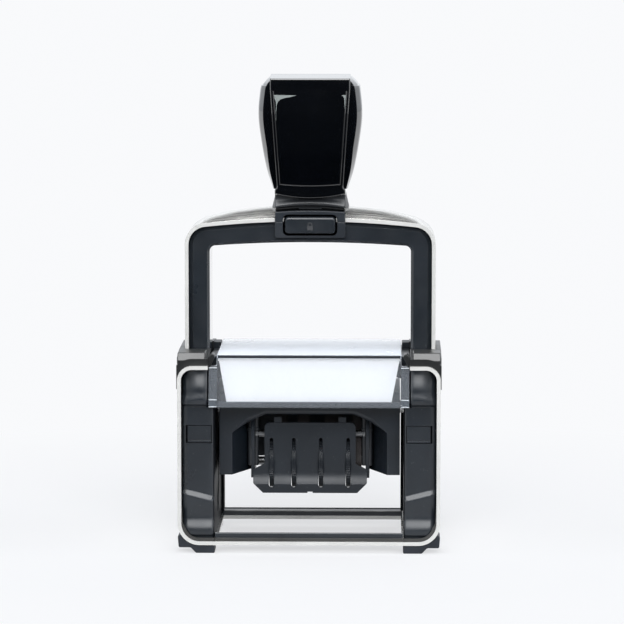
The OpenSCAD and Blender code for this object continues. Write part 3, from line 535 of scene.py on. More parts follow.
knob = settings(
    rows=96, corner=0.5, across=12, neckHalf=12.1, slabLow=11.3, slabHigh=13.7, slabTop=157.0,
    neckTop=122.4, slabEase=0.8, neckFoot=1.3, neckLine=6.0, neckFlare=1.5, flareTall=5.6,
    lipSag=1.6, beadRise=1.2,
    profile=(  # height above the foot, and how far the face stands back
        (0, -4.7), (1.1, -4.6), (1.25, -3.5), (1.45, -3.0), (1.9, -2.85), (2.4, -3.1), (3.9, -4.0),
        (5.4, -4.1), (6.0, -3.9), (6.15, -2.6), (6.3, -1.95), (6.7, -1.75), (7.6, -1.75), (9.5, -1.85),
        (13, -1.45), (20, -0.5), (31.8, 0), (37.5, -0.15), (42.3, -0.6), (45.2, -0.9), (45.5, -1.0),
        (45.66, -1.2), (45.74, -1.6), (46.0, -4.5), (46.4, -8.4), (46.7, -11.4), (46.8, -12.7)),
    fineRows=(1.35, 1.6, 2.05, 2.2, 5.7, 5.9, 6.07, 6.22, 6.5, 7.1, 45.35, 45.58, 45.7, 45.8, 46.2, 46.55),
)
cheek = settings(
    rows=64, set=1.1, sink=0.4, chamferLong=4.6, chamferWide=1.75, footTall=14, gripTop=3.6,
    gripStep=0.45, foot=4.85, top=3.6, line=((32, 2.75), (21, 0.75), (13.5, 0), (6, 0.55), (3, 1.3)),
)
panel = settings(inset=1.0, proud=0.28, sag=0.5, deep=0.9, roll=0.6, below=0.6, above=0.3,
         rim=(0, 0.04, 0.12, 0.25, 0.42, 0.7, 1.2), flat=2.0, rows=40, columns=10)
# outlines of the painted reflections on the label's top corners
cornerReflections = settings(
    left=((0, 0), (7.6, -0.15), (5.5, -0.7), (3.5, -1.05), (2.1, -1.5), (1.2, -2.3),
          (0.7, -3.4), (0.3, -6), (0, -9)),
    right=((0, 0), (-1.5, -0.1), (-0.9, -0.5), (-0.5, -1.1), (-0.25, -3), (0, -5)),
    top=154.9, proud=0.03, sink=0.1, inset=0.35,
)
bodyLow, bodyHigh = span("knob_body")
cheekLow, cheekHigh = span("knob_cheek_right")
panelLow, panelHigh = span("label_panel")


def knobHalfWidth(z):  # the matte neck, then a slab that widens upwards
    s = knob
    rise = z - s.neckTop
    if rise < 0:
        return s.neckHalf
    slab = s.slabLow + (s.slabHigh - s.slabLow) * min(1, rise / (s.slabTop - s.neckTop))
    return s.neckHalf + (slab - s.neckHalf) * min(1, rise / s.slabEase)


def knobDepth(z):  # half depth of the knob at height z
    return bodyHigh.y + curveThrough(knob.profile, z - bodyLow.z)


def cheekHalfWidth(z):
    s, wide = cheek, cheekHigh.x
    keys = [(cheekLow.z, wide - s.foot)] + [(bodyHigh.z - down, wide - less) for down, less in s.line]
    return curveThrough(keys + [(cheekHigh.z, wide - s.top)], z)


def knobRing(z):
    s, tall = knob, z - bodyLow.z
    half, deep = knobHalfWidth(z), knobDepth(z)
    corner = min(s.corner, deep * 0.5)
    front = [((half - corner) * (2 * k / s.across - 1), -deep) for k in range(s.across + 1)]
    turn = [(half - corner * (1 - math.sin(a)), -deep + corner * (1 - math.cos(a)))
            for a in (0.4, 0.8, 1.2, 1.57)]
    flare = s.neckFlare * max(0, 1 - tall / s.flareTall)
    turn += [(half + flare * 0.8, -deep * 0.6), (half + flare, -deep * 0.35)]
    right, left = front + turn, [(-x, y) for x, y in turn]
    ring = right + [(x, -y) for x, y in reversed(right)] + [(x, -y) for x, y in left] + left[::-1]
    sag = between(((0, 0.3 * s.beadRise), (2.0, s.beadRise), (7.1, -s.lipSag), (11, 0)), tall)
    return [(x, y, z + sag * (1 - (x / half) ** 2)) for x, y in ring]


def makeKnobBody():
    s, tall = knob, bodyHigh.z - bodyLow.z
    heights = [tall * k / s.rows for k in range(s.rows + 1)] + [k for k, d in s.profile] + list(s.fineRows)
    rings = [knobRing(bodyLow.z + h) for h in sorted(set(round(h, 3) for h in heights))]
    piece = ringPiece("knobBody", [p for ring in rings for p in ring], len(rings[0]))

    # the matte grey runs from the bead up to the lip; the undercut below the bead keeps the darker gloss
    # black as painted shade
    def inNeck(face):
        x, y, z = face.center / mm
        return s.neckFoot < z - bodyLow.z < s.neckLine - s.lipSag * (1 - (x / s.neckHalf) ** 2)
    twoFinishes(piece, glossBlack, greyMoulded, inNeck)
    placed(piece, 50, glossBlack, "handle", "knob_body")


def makeCheek(name, node, signX):  # a front, a long slanting side that catches the light, a step at the top
    s, grip = cheek, bodyHigh.z - cheek.gripTop
    rows = [cheekLow.z + (cheekHigh.z - cheekLow.z) * r / s.rows for r in range(s.rows + 1)]
    rows = sorted([z for z in rows if abs(z - grip) > 0.2] + [grip - 0.02, grip + 0.02])
    points, long = [], s.chamferLong
    for z in rows:
        inner, outer, front = knobHalfWidth(z) - s.sink, cheekHalfWidth(z), s.set - knobDepth(z)
        wide = s.chamferWide * (0.35 + 0.65 * min(1, (z - cheekLow.z) / s.footTall))
        if z > grip:
            outer, wide = outer - s.gripStep, wide * 0.8
        wide = min(wide, (outer - inner) * 0.8)
        edge = outer - wide
        side = [(inner, 0), (edge - 0.15, 0), (edge, 0.06), (edge + 0.08, 0.22),
                (outer - wide * 0.35, long * 0.55), (outer - wide * 0.1, long * 0.8), (outer, long + 0.8)]
        side = [(x, min(front + y, -0.5)) for x, y in side]
        points += [(x, y, z) for x, y in side] + [(x, -y, z) for x, y in reversed(side)]
    placed(ringPiece(name, points, 14, signX), 34, glossBlack, "handle", node)


def makePanel(name, node, signY):  # a gloss panel that follows the knob's curve, with rolled edges
    s = panel
    low, rim, flat = panelLow.z - s.below, list(s.rim), s.flat
    tall = panelHigh.z + s.above - low
    rows = rim + [flat + (tall - 2 * flat) * k / s.rows for k in range(s.rows + 1)]
    rows += [tall - r for r in rim[::-1]]
    points = []
    for h in rows:
        half = knobHalfWidth(low + h) - s.inset
        xs = [(half - flat) * (2 * k / s.columns - 1) for k in range(s.columns + 1)]
        xs = [d - half for d in rim] + xs + [half - d for d in rim[::-1]]
        for x in xs:
            sink = max(0, 1 - min(half - abs(x), h) / s.roll)
            proud = s.proud * math.sqrt(max(0, 1 - sink * sink))
            z = low + h - s.sag * (1 - (x / half) ** 2) * (1 - h / tall) ** 3
            points.append((x, -knobDepth(z) - proud, z))
    piece = sheetPiece(name, points, len(xs), (lambda x, y, z: (x, y + s.deep, z),), 1, signY)
    placed(piece, 50, glossBlack, "handle", node)


def makeCornerReflection(name, side, outline):  # a painted reflection: a light grey patch on a top corner of the label's clear face
    s, points = cornerReflections, []
    for deep in (-s.proud, s.sink):
        for along, down in outline:
            z = s.top + down
            x = side * (knobHalfWidth(z) - panel.inset - s.inset) + along
            points.append((x, -knobDepth(z) - panel.proud + deep, z))
    placed(ringPiece(name, points, len(outline)), None, reflectionGrey, "handle")


makeKnobBody()
for label, signX in sides:
    makeCornerReflection("labelReflection." + label, signX, cornerReflections[label])
    makeCheek("knobCheek." + label, "knob_cheek_" + label, signX)
makePanel("labelPanel", "label_panel", 1)
makePanel("rearPanel", "rear_panel", -1)
print("knob made")


# handle: a black arch with chamfered outlines under a steel band that domes up towards the knob

arch = settings(outerChamfer=1.6, innerChamfer=0.9, ease=0.2, across=16, edge=0.16, legWide=7.2, draft=0.08,
        dome=((12.0, 0), (12.05, 3.3), (20, 3.0), (27, 2.6), (34, 1.7), (40, 0.3), (41.5, 0), (43, 0)))


def makeHandleFrame():
    s = arch
    low, high = span("handle_frame")
    lockLow, lockHigh = span("lock_housing")

    def onFace(a, b, outer):
        wide = max(abs(a.x), abs(b.x))
        flat = abs(abs(a.y) - high.y) < 0.01 and abs(a.y - b.y) < 0.01
        inLock = wide < lockHigh.x + 0.2 and max(a.z, b.z) > lockLow.z - 0.3
        outside = wide > high.x - 6 or min(a.z, b.z) > lockLow.z
        return flat and not inLock and outside == outer and max(a.z, b.z) > low.z + 0.2
    piece = cadCopy("handle_frame", "handleFrame")
    for chamfer, outer in ((s.outerChamfer, True), (s.innerChamfer, False)):
        rounded(piece, chamfer, 1, chosen=lambda a, b: onFace(a, b, outer), clamp=False)
    for vert in piece.data.vertices:  # the legs' faces fall back a little towards the outside
        over = abs(vert.co.x) / mm - high.x + s.legWide
        if over > 0 and abs(vert.co.y) / mm > high.y - s.outerChamfer:
            vert.co.y -= math.copysign(over * s.draft * mm, vert.co.y)
    rounded(piece, s.ease, 2, 30)
    glossy = lambda f: f.normal.x * f.center.x < 0 and abs(f.normal.x) > 0.9  # inner sides of the legs
    twoFinishes(piece, blackMoulded, glossBlack, glossy)
    placed(piece, 32, blackMoulded, "handle", "handle_frame")


def makeHandleBand():
    s = arch
    low, high = span("handle_band")
    deep = high.y

    def dome(mesh):
        for k in range(1, s.across):
            sliced(mesh, (0, deep * (2 * k / s.across - 1), 0), (0, 1, 0))
        for x in (s.dome[0][0], s.dome[1][0]):
            for side in (-1, 1):
                sliced(mesh, (x * side, 0, 0), (1, 0, 0))
        mesh.normal_update()
        moves = []
        for vert in mesh.verts:
            x, y, z = vert.co / mm
            outer = vert.normal.x * x + vert.normal.z * (z - low.z) > 0
            if outer and abs(y) < deep - 0.01:
                along = Vector((vert.normal.x, 0, vert.normal.z)).normalized()
                moves.append((vert, along * between(s.dome, abs(x)) * (1 - (y / deep) ** 2) * mm))
        for vert, move in moves:
            vert.co += move
    piece = reworked(cadCopy("handle_band", "handleBand"), dome)
    twoFinishes(piece, polishedSteel, cutSteel, lambda f: abs(f.normal.y) > 0.8)  # matte, bright cut edges
    placed(rounded(piece, s.edge, 2, 50), 38, polishedSteel, "handle", "handle_band")


makeHandleFrame()
makeHandleBand()


# lock housing with the button's pocket, and the button with its padlock sign

lock = settings(
    lowCorner=0.7, edge=0.25, arch=0.5, archSteps=6, pocketGap=0.55, pocketCorner=1.6, pocketDeep=7.5,
    seam=0.25, seamIn=3.2, seamHalf=3.4,
)
button = settings(
    rings=(  # depth, side, top and bottom insets, corner
        (0, 0.5, 1.05, 0.4, 0.9), (0.12, 0.3, 0.8, 0.22, 1.0), (0.55, 0.06, 0.3, 0.04, 1.2),
        (0.95, 0, 0, 0, 1.3), (5, 0, 0, 0, 1.3)),
    stemHalf=1.4, stemCorner=1.2, stemStart=4.8, signTall=0.14, signSink=0.2, signDrop=1.75,
    signHalf=0.95, signBody=1.5, shackle=0.68, shackleLine=0.16, shackleRise=0.35, steps=10,
)


def makeLockHousing():
    s, gap = lock, lock.pocketGap
    low, high = span("lock_housing")
    buttonLow, buttonHigh = span("lock_button")
    piece = boxPiece("lockHousing", low, high)
    rounded(piece, s.lowCorner, 6, chosen=lambda a, b: alongY(a, b) and a.z < low.z + 0.1)
    pocket = boxPiece("pocket", (buttonLow.x - gap, low.y - 1, buttonLow.z - gap),
                      (buttonHigh.x + gap, low.y + s.pocketDeep, buttonHigh.z + gap))
    cutBy(piece, rounded(pocket, s.pocketCorner, 5, chosen=alongY))
    seamZ, middle = span("handle_frame")[1].z, high.x - s.seamIn
    for label, signX in sides:
        cutBy(piece, boxPiece("seam", (middle - s.seamHalf, low.y - 0.5, seamZ - s.seam / 2),
                              (middle + s.seamHalf, low.y + s.seam, seamZ + s.seam / 2), signX))

    def bow(mesh):
        for k in range(1, 2 * s.archSteps):
            sliced(mesh, (high.x * (k / s.archSteps - 1), 0, 0), (1, 0, 0))
        for vert in mesh.verts:
            if vert.co.z / mm > high.z - 0.05:
                vert.co.z += s.arch * (1 - (vert.co.x / mm / high.x) ** 2) * mm
    rounded(reworked(outwards(piece), bow), s.edge, 3, 40)
    reach = gap + s.edge + 0.05

    def inPocket(face):
        x, y, z = face.center / mm
        near = abs(x) < buttonHigh.x + reach and buttonLow.z - reach < z < buttonHigh.z + reach
        return near and y < -1 and face.normal.y > -0.98
    twoFinishes(piece, housingGrey, recessShadeBlack, inPocket)  # the pocket takes a darker matte black: painted shade in the recess
    placed(piece, 40, housingGrey, "handle", "lock_housing")


def makeLockButton():
    s = button
    low, high = span("lock_button")
    front, middleZ, halfZ = low.y, (low.z + high.z) / 2, (high.z - low.z) / 2
    rings = []
    for deep, side, top, bottom, corner in s.rings:
        outline = roundRing((high.x - low.x) / 2 - side, halfZ - (top + bottom) / 2, corner)
        rings += [(x, front + deep, middleZ + z + (bottom - top) / 2) for x, z in outline]
    cap = ringPiece("lockButton", rings, len(outline))
    stem = boxPiece("stem", (-s.stemHalf, front + s.stemStart, middleZ - s.stemHalf),
                    (s.stemHalf, high.y, middleZ + s.stemHalf))
    joined(cap, rounded(stem, s.stemCorner, 4, chosen=alongY))
    plain = len(cap.data.polygons)
    half, foot, top = s.signHalf, middleZ - s.signDrop, middleZ - s.signDrop + s.signBody
    y0, y1 = front - s.signTall, front + s.signSink
    body = prism("signBody", "Y", (y0, y1), ((-half, foot), (half, foot), (half, top), (-half, top)))
    shackle, wide, slim = [], s.shackle + s.shackleLine, s.shackle - s.shackleLine
    for k in range(s.steps + 1):
        c, h = math.cos(math.pi * k / s.steps), math.sin(math.pi * k / s.steps)
        shackle += [(r * c, y, top + s.shackleRise * min(1, 3 * h) + r * h)
                    for r, y in ((wide, y0), (slim, y0), (slim, y1), (wide, y1))]
    joined(cap, body, ringPiece("signShackle", shackle, 4))
    twoFinishes(cap, blackMoulded, signGrey, lambda f: f.index >= plain)
    placed(cap, 40, blackMoulded, "lock_button", "lock_button")


makeLockHousing()
makeLockButton()
print("handle frame and lock made")


# window: one bent clear sheet with side strips, catches and a thick lower edge, over a white card

window = settings(
    wall=1.05, set=0.36, lean=4, bend=1.5, steps=8, columns=8, ease=0.2, stripWide=2.8,
    stripDeep=1.9, catch=2.5, catchProud=0.3, rail=1.8, railDeep=1.9, spare=0.12, frost=0.3,
    lineTall=0.95, lineDeep=0.9, cardGap=0.3, cardEdge=0.12,
)


def makeWindow():
    s = window
    low, high = span("window_cover")
    lip, bend, c = span("base_shell")[1].z, high.z - s.bend, s.spare
    topHalf = span("index_card")[1].x + s.cardGap
    lean = s.lean / (high.z - low.z)
    frontAt = lambda z: low.y + s.set + (z - low.z) * lean
    path = [(frontAt(z), z) for z in (low.z, low.z + 4, low.z + 8, lip - 0.6, lip, bend)]
    path += arc(frontAt(bend) + s.bend, bend, s.bend, 180, -90, s.steps)[1:]
    path += [(y, high.z) for y in (-15, -5, 5, high.y)]
    points, shares = [], [k / s.columns - 1 for k in range(2 * s.columns + 1)]
    for y, z in path:
        half = high.x if z < lip - 0.3 else topHalf
        points += [(half * share, y, z) for share in shares]
    sheet = outwards(meshPiece("windowSheet", points, ringFaces(len(path), len(shares), closed=False)))
    if sum(face.normal.z for face in sheet.data.polygons) < 0:
        sheet.data.flip_normals()
    modified(sheet, "SOLIDIFY", thickness=s.wall * mm, offset=-1)
    placed(rounded(sheet, s.ease, 2, 50), 40, clearSheet, "base", "window_cover")

    def bar(x0, x1, z0, z1, proud, deep, edge=0.18):  # a bar that leans with the front
        points = [(x, frontAt(z) + y, z) for z in (z0, z1)
                  for x, y in ((x0, -proud), (x1, -proud), (x1, deep), (x0, deep))]
        return rounded(ringPiece("bar", points, 4), edge, 2, 40)

    def trimmed(name, finish, trims):
        trim = joined(trims[0], *trims[1:])
        trim.name = name
        placed(trim, 40, finish, "base")
    inner, deep, catchTop, proud = high.x - s.stripWide, s.wall + s.stripDeep, low.z + s.catch, s.catchProud
    edges, glints = [], []
    for label, signX in sides:
        x0, x1 = sorted((signX * inner, signX * (high.x - 0.05)))
        edges.append(bar(x0, x1, catchTop + 0.1, lip - 0.5, -c, deep))
        edges.append(bar(x0 - 0.05, x1 + 0.05, low.z + 0.05, catchTop, proud, deep))
        # thin bright bars across the side strips: painted highlights on their edges
        for z in (low.z + 0.1, catchTop - 0.1, lip - 1.1):
            glints.append(bar(x0 + 0.05, x1 - 0.05, z, z + s.frost, proud + 0.04, 0.4, 0.06))
    edges.append(bar(0.1 - inner, inner - 0.1, low.z + c, low.z + s.rail, -c, s.wall + s.railDeep))
    trimmed("windowEdges", clearEdge, edges)
    trimmed("windowGlints", glintClear, glints)
    top, wide = high.z - c, topHalf - 0.3
    trimmed("windowLine", clearDark, [bar(-wide, wide, top - s.lineTall, top, 0.03, s.lineDeep, 0.1)])
    card = rounded(cadCopy("index_card", "indexCard"), s.cardEdge, 2, 30)
    placed(card, 40, whiteCard, "base", "index_card")


makeWindow()
print("window and card made")


# front and rear bars with a rim along the strip, and the rim round the lower corners

bars = settings(rim=1.1, groove=0.3, rimSet=0.1, seamGap=0.12, rimTop=15.0, rimDeep=2.4, steps=14,
                ease=0.15,        skin=0.05, taper=5)


def makeBar(name, node, signY):
    s = bars
    low, high = span("front_bar")
    front, back, floor, top, rim = low.y, high.y, low.z, high.z, low.z + s.rim
    faceY, groove = front - s.rimSet, front + s.groove
    profile = [(faceY, floor), (faceY, rim), (groove, rim + 0.1), (groove, rim + 0.3)]
    profile.append((front + 0.15, rim + 0.4))
    if signY > 0:
        profile += [(front + 0.2, top - 0.3), (front + 0.5, top), (back, top - 1.4), (back, floor)]
    else:
        profile += [(front + 0.4, top - 1.9), (back - 0.4, top - 1.2), (back, top - 1.5), (back, floor)]
    piece = rounded(prism(name, "X", (low.x, high.x), profile, 1, signY), s.ease, 2, 20)
    plain = len(piece.data.polygons)
    inX, turn = stripEdge(30), strip.lowRound  # the strip's straight side
    path = [(high.x + s.seamGap, 0, 0, 1)]  # place, then the way inwards
    for x, z in arc(0, 0, 1, 270, 90, s.steps):
        path.append((inX - turn + turn * x, turn + turn * z, -x, -z))
    path.append((inX, s.rimTop - floor, -1, 0))
    ring, skin, backY = [], s.skin, front + s.rimDeep
    for i, (x, z, wayX, wayZ) in enumerate(path):
        thick = s.rim * min(1, 0.15 + 1.2 * (len(path) - 1 - i) / s.taper)
        for deep, y in ((skin, faceY), (thick, faceY), (thick, backY), (skin, backY)):
            ring.append((x + wayX * deep, y, z + wayZ * deep + floor))
    for label, signX in sides:
        joined(piece, rounded(ringPiece("rim", ring, 4, signX, signY), s.ease, 2, 50))

    def inRim(face):  # along the bar as well as round the corners
        along = abs(face.center.y / mm) > -front - 0.2 and face.center.z / mm < rim + 0.1
        return face.index >= plain or along
    twoFinishes(piece, blackMoulded, rimGrey, inRim)
    placed(piece, 35, blackMoulded, "base", node)


makeBar("frontBar", "front_bar", 1)
makeBar("rearBar", "rear_bar", -1)
print("bars made")


# pieces that keep their solid's shape, with moulded or ground edges

armRound = settings(radius=1.6, segments=5, side=0.3)
kept = (  # node, finish, edge radius, segments
    ("base_shell", polishedSteel, 0.16, 2),
    ("collar_left", collarBlack, 0.4, 3), ("collar_right", collarBlack, 0.4, 3),
    # the liners inside the posts take the darker black: painted shade
    ("post_liner_left", recessShadeBlack, 0.2, 2), ("post_liner_right", recessShadeBlack, 0.2, 2),
    ("snap_tab_left", blackMoulded, 0.14, 2), ("snap_tab_right", blackMoulded, 0.14, 2),
    ("feet", footRubber, 0.45, 3), ("pad_housing", blackMoulded, 0.3, 2),
    ("spring_seats", blackMoulded, 0.2, 2), ("ink_tray", blackMoulded, 0.35, 3),
    ("die_frame", dieMoulded, 0.3, 2), ("die_plate", dieMoulded, 0.2, 2),
    ("date_side_plates", dieMoulded, 0.25, 2), ("text_plate", printRubber, 0.12, 2),
    ("trunnion_left", pinSteel, 0.3, 2), ("trunnion_right", pinSteel, 0.3, 2),
    ("cam_pin_left", pinSteel, 0.25, 2), ("cam_pin_right", pinSteel, 0.25, 2),
    ("band_bridge", darkSteel, 0.2, 2), ("wheel_axle", darkSteel, 0.25, 2), ("tie_rod", darkSteel, 0.15, 2),
    ("knob_screws", pinSteel, 0.2, 2),
)


def softFront(piece, low, high):  # the die frame's front outline has a large radius
    def chosen(a, b):
        inside = max(abs(a.x), abs(b.x)) < high.x - armRound.side and min(a.z, b.z) > low.z + armRound.side
        return inside and max(a.y, b.y) < low.y + 0.05
    rounded(piece, armRound.radius, armRound.segments, chosen=chosen)


for node, finish, radius, segments in kept:
    piece = cadCopy(node, camel(node))
    if node == "die_frame":
        softFront(piece, *span(node))
    rounded(piece, radius, segments, 28)
    if finish is polishedSteel:
        twoFinishes(piece, polishedSteel, cutSteel, lambda f: abs(f.normal.y) > 0.6)  # cut edges
    placed(piece, 38, finish, bodyOf[node], node)
print("kept pieces dressed:", len(kept))


# slopes on the collars, blocks under the window's rear corners, ribs in the posts, clips and date pillars

slopes = settings(profile=((-29.7, 66.0), (-27.2, 68.25), (-20.5, 68.3), (-13.9, 67.7), (-13.9, 66.4),
                           (-29.7, 64.6)), inner=1.0, outer=0.3, edge=0.35)
rests = settings(low=(31.6, 12.0, 60.5), high=(34.3, 19.5, 67.3), edge=0.3)
ribs = settings(proud=0.95, sink=0.3, front=21.0, back=28.0, foot=2.0, above=12.3, edge=0.25)
clips = settings(outline=((35.6, 65.2), (35.2, 63.8), (33.6, 63.2), (31.9, 66.8), (32.3, 67.8),
                          (33.2, 67.9)), front=-27.6, back=-22.5, edge=0.3)
pillars = settings(places=(20.6, 18.6), radius=0.85, front=-9.2, low=27.0, high=52.0, ring=39.2,
           ringTall=0.9, ringOut=0.25, ease=0.1, sides=20)


def roundPost(x, y):
    s, r, ease = pillars, pillars.radius, pillars.ease
    z0, z1, wide = s.ring, s.ring + s.ringTall, r + s.ringOut
    rows = ((s.low, r - 0.2), (s.low + 0.2, r), (z0 - ease, r), (z0, wide - ease), (z0 + ease, wide),
            (z1 - ease, wide), (z1, wide - ease), (z1 + ease, r), (s.high, r))
    points = [(px, py, z) for z, radius in rows for px, py in arc(x, y, radius, 0, 360, s.sides)[:-1]]
    return ringPiece("pillar", points, s.sides)


linerLow, linerHigh = span("post_liner_right")
for label, signX in sides:
    ends = (linerHigh.x + slopes.inner, span("collar_right")[1].x - slopes.outer)
    nose = prism("collarNose." + label, "X", ends, slopes.profile, signX)
    placed(rounded(nose, slopes.edge, 3, 20), 30, collarBlack, "base")
    rest = boxPiece("windowRest." + label, rests.low, rests.high, signX)
    placed(rounded(rest, rests.edge, 2, 40), 35, dieMoulded, "base")
    rib = boxPiece("postRib." + label, (linerLow.x - ribs.proud, ribs.front, linerLow.z + ribs.foot),
                   (linerLow.x + ribs.sink, ribs.back, linerHigh.z + ribs.above), signX)
    # the ribs inside the posts take the darker black: painted shade
    placed(rounded(rib, ribs.edge, 3, 40), 35, recessShadeBlack, "base")
    clip = prism("windowClip." + label, "Y", (clips.front, clips.back), clips.outline, signX)
    placed(rounded(clip, clips.edge, 2, 20), 35, collarBlack, "base")
    posts = [roundPost(signX * x, pillars.front) for x in pillars.places]
    pillar = joined(*posts)
    pillar.name = "datePillars." + label
    placed(pillar, 40, greyMoulded, "die")
print("collar noses, window rests, ribs, clips and pillars made")


# band cover: a slotted plate that bends out into a wider skirt

bandCover = settings(
    upperHalf=15.7, skirtRise=8.4, waist=0.9, fillet=1.9, flare=1.6, lipTall=3.1, lipBack=0.45,
    flareTop=7.4, wall=1.2, topCorner=1.8, lowCut=3.4, slotTop=0.6, slotLow=0.9, slotRise=1.9,
    slotLong=17.1, slotSet=0.8, notch=0.9, notchTall=0.45, edge=0.28, rowStep=0.4, fineStep=0.15,
    tabX=11.1, tabHalf=1.35, tabTall=2.0, tabEdge=0.2,
)
wheelNodes = ("day_tens_wheel", "day_units_wheel", "month_wheel", "year_wheel")


def makeBandCover():
    s = bandCover
    low, high = span("band_cover")
    skirtHalf, skirtTop, front = high.x, low.z + s.skirtRise, low.y + s.flare

    def half(z):
        if z < low.z + s.lowCut:
            return skirtHalf - s.lowCut + (z - low.z)
        if z > high.z - s.topCorner:
            return s.upperHalf - roundOff(high.z - z, s.topCorner)
        return between(((skirtTop - s.waist, skirtHalf), (skirtTop + s.fillet, s.upperHalf)), z)

    def face(z):
        rise = z - low.z - s.lipTall
        if rise < 0:
            return low.y - s.lipBack * rise / s.lipTall
        return front - s.flare * max(0, 1 - rise / (s.flareTop - s.lipTall)) ** 2
    rows = [low.z + s.rowStep * k for k in range(int((high.z - low.z) / s.rowStep) + 1)]
    rows += [skirtTop - s.waist + s.fineStep * k for k in range(22)]
    rows += [high.z - s.topCorner * 0.5 ** k for k in range(6)] + [high.z, low.z + s.lipTall]
    rows = sorted(set(round(z, 3) for z in rows))
    shares, points = [k / 10 - 1 for k in range(21)], []
    for z in rows:
        points += [(half(z) * share, face(z), z) for share in shares]
        points += [(half(z) * share, face(z) + s.wall, z) for share in reversed(shares)]
    plate = ringPiece("bandCover", points, 2 * len(shares))
    ends, foot = (low.y - 3, front + 4), low.z + s.slotRise
    cutters = [boxPiece("notch", (-s.notch, ends[0], low.z - 1), (s.notch, ends[1], low.z + s.notchTall))]
    for node in wheelNodes:
        x = span(node)[0].x + s.slotSet
        outline = arc(x, foot + s.slotLow, s.slotLow, 180, 180, 10)
        outline += arc(x, foot + s.slotLong - s.slotTop, s.slotTop, 0, 180, 10)
        cutters.append(prism("slot", "Y", ends, outline))
    cutBy(plate, joined(*cutters))
    rounded(plate, s.edge, 2, 45)
    for label, signX in sides:
        tab = boxPiece("tab", (s.tabX - s.tabHalf, front + 0.2, high.z - 0.4),
                       (s.tabX + s.tabHalf, front + 1.0, high.z + s.tabTall), signX)
        joined(plate, rounded(tab, s.tabEdge, 2, 40))
    placed(plate, 38, dieMoulded, "die", "band_cover")


makeBandCover()
print("band cover made")


# geometry nodes: setting wheels, springs and the type on the bands

def newTree(name, sockets):
    tree = bpy.data.node_groups.new(name, "GeometryNodeTree")
    tree.is_modifier = True
    for label, kind in (("Geometry", "Geometry"), *sockets, ("Finish", "Material")):
        tree.interface.new_socket(label, in_out="INPUT", socket_type="NodeSocket" + kind)
    tree.interface.new_socket("Geometry", in_out="OUTPUT", socket_type="NodeSocketGeometry")
    return tree, tree.nodes.new("NodeGroupInput").outputs


def endTree(tree, given, source):  # realize, set material, output
    real = addNode(tree, "RealizeInstances", ((0, source),))
    paint = addNode(tree, "SetMaterial", (("Geometry", real.outputs[0]), ("Material", given["Finish"])))
    flat = addNode(tree, "SetShadeSmooth", ((0, paint.outputs[0]), ("Shade Smooth", False)))
    fill(tree, tree.nodes.new("NodeGroupOutput"), ((0, flat.outputs[0]),))
    return tree


def grown(name, tree, mesh=None, **values):  # runs a tree and keeps its result as a plain mesh
    piece = linked(name, mesh or bpy.data.meshes.new(name))
    nodes = piece.modifiers.new("grow", "NODES")
    nodes.node_group = tree
    for item in tree.interface.items_tree:
        key = item.name.replace(" ", "")
        if item.item_type == "SOCKET" and item.in_out == "INPUT" and key in values:
            nodes[item.identifier] = values[key]
    return applied(piece)


def wheelTree():  # a rim with a ridge on every point of its circle, and a hub to one side
    lengths = ("Radius", "Thick", "Ridge Tall", "Ridge Wide", "Hub Radius", "Hub Long")
    tree, given = newTree("settingWheel", [(label, "Float") for label in lengths] + [("Ridges", "Int")])
    vector = lambda *links: addNode(tree, "ShaderNodeCombineXYZ", links).outputs[0]
    drum = lambda count, wide, deep: addNode(tree, "MeshCylinder", (
        ("Vertices", count), ("Radius", given[wide]), ("Depth", given[deep])))
    rim, hub = drum(96, "Radius", "Thick"), drum(40, "Hub Radius", "Hub Long")
    shift = maths(tree, "MULTIPLY", maths(tree, "SUBTRACT", given["Hub Long"], given["Thick"]), 0.5)
    hubUp = addNode(tree, "Transform", (("Geometry", hub.outputs[0]), ("Translation", vector(("Z", shift)))))
    circle = addNode(tree, "MeshCircle", (("Vertices", given["Ridges"]), ("Radius", given["Radius"])))
    size = vector(("X", given["Ridge Tall"]), ("Y", given["Ridge Wide"]), ("Z", given["Thick"]))
    ridge = addNode(tree, "MeshCube", (("Size", size),))
    step = maths(tree, "DIVIDE", 2 * math.pi, given["Ridges"])
    turn = maths(tree, "MULTIPLY", addNode(tree, "InputIndex").outputs[0], step)
    ridges = addNode(tree, "InstanceOnPoints", (
        ("Points", circle.outputs[0]), ("Instance", ridge.outputs[0]), ("Rotation", vector(("Z", turn)))))
    both = addNode(tree, "JoinGeometry", [(0, part.outputs[0]) for part in (rim, hubUp, ridges)])
    lie = addNode(tree, "Transform", (("Geometry", both.outputs[0]), ("Rotation", (0, math.pi / 2, 0))))
    return endTree(tree, given, lie.outputs[0])


def springTree():
    lengths = ("Radius", "Wire", "Turns", "Tall")
    tree, given = newTree("returnSpring", [(label, "Float") for label in lengths])
    coil = addNode(tree, "CurveSpiral", (
        ("Resolution", 22), ("Rotations", given["Turns"]), ("Start Radius", given["Radius"]),
        ("End Radius", given["Radius"]), ("Height", given["Tall"])))
    ring = addNode(tree, "CurvePrimitiveCircle", (("Resolution", 10), ("Radius", given["Wire"])))
    wire = addNode(tree, "CurveToMesh", (("Curve", coil.outputs[0]), ("Profile Curve", ring.outputs[0]),
                                         ("Fill Caps", True)))
    return endTree(tree, given, wire.outputs[0])


def typeTree():  # a small block on every point, turned and stretched by the point's own values
    tree, given = newTree("typeBlocks", ())
    block = addNode(tree, "MeshCube", (("Size", (1, 1, 1)),))
    own = lambda name: addNode(
        tree, "InputNamedAttribute", (("Name", name),), data_type="FLOAT_VECTOR").outputs[0]
    points = addNode(tree, "MeshToPoints", (("Mesh", given["Geometry"]),))
    blocks = addNode(tree, "InstanceOnPoints", (
        ("Points", points.outputs[0]), ("Instance", block.outputs[0]), ("Rotation", own("turn")),
        ("Scale", own("size"))))
    return endTree(tree, given, blocks.outputs[0])


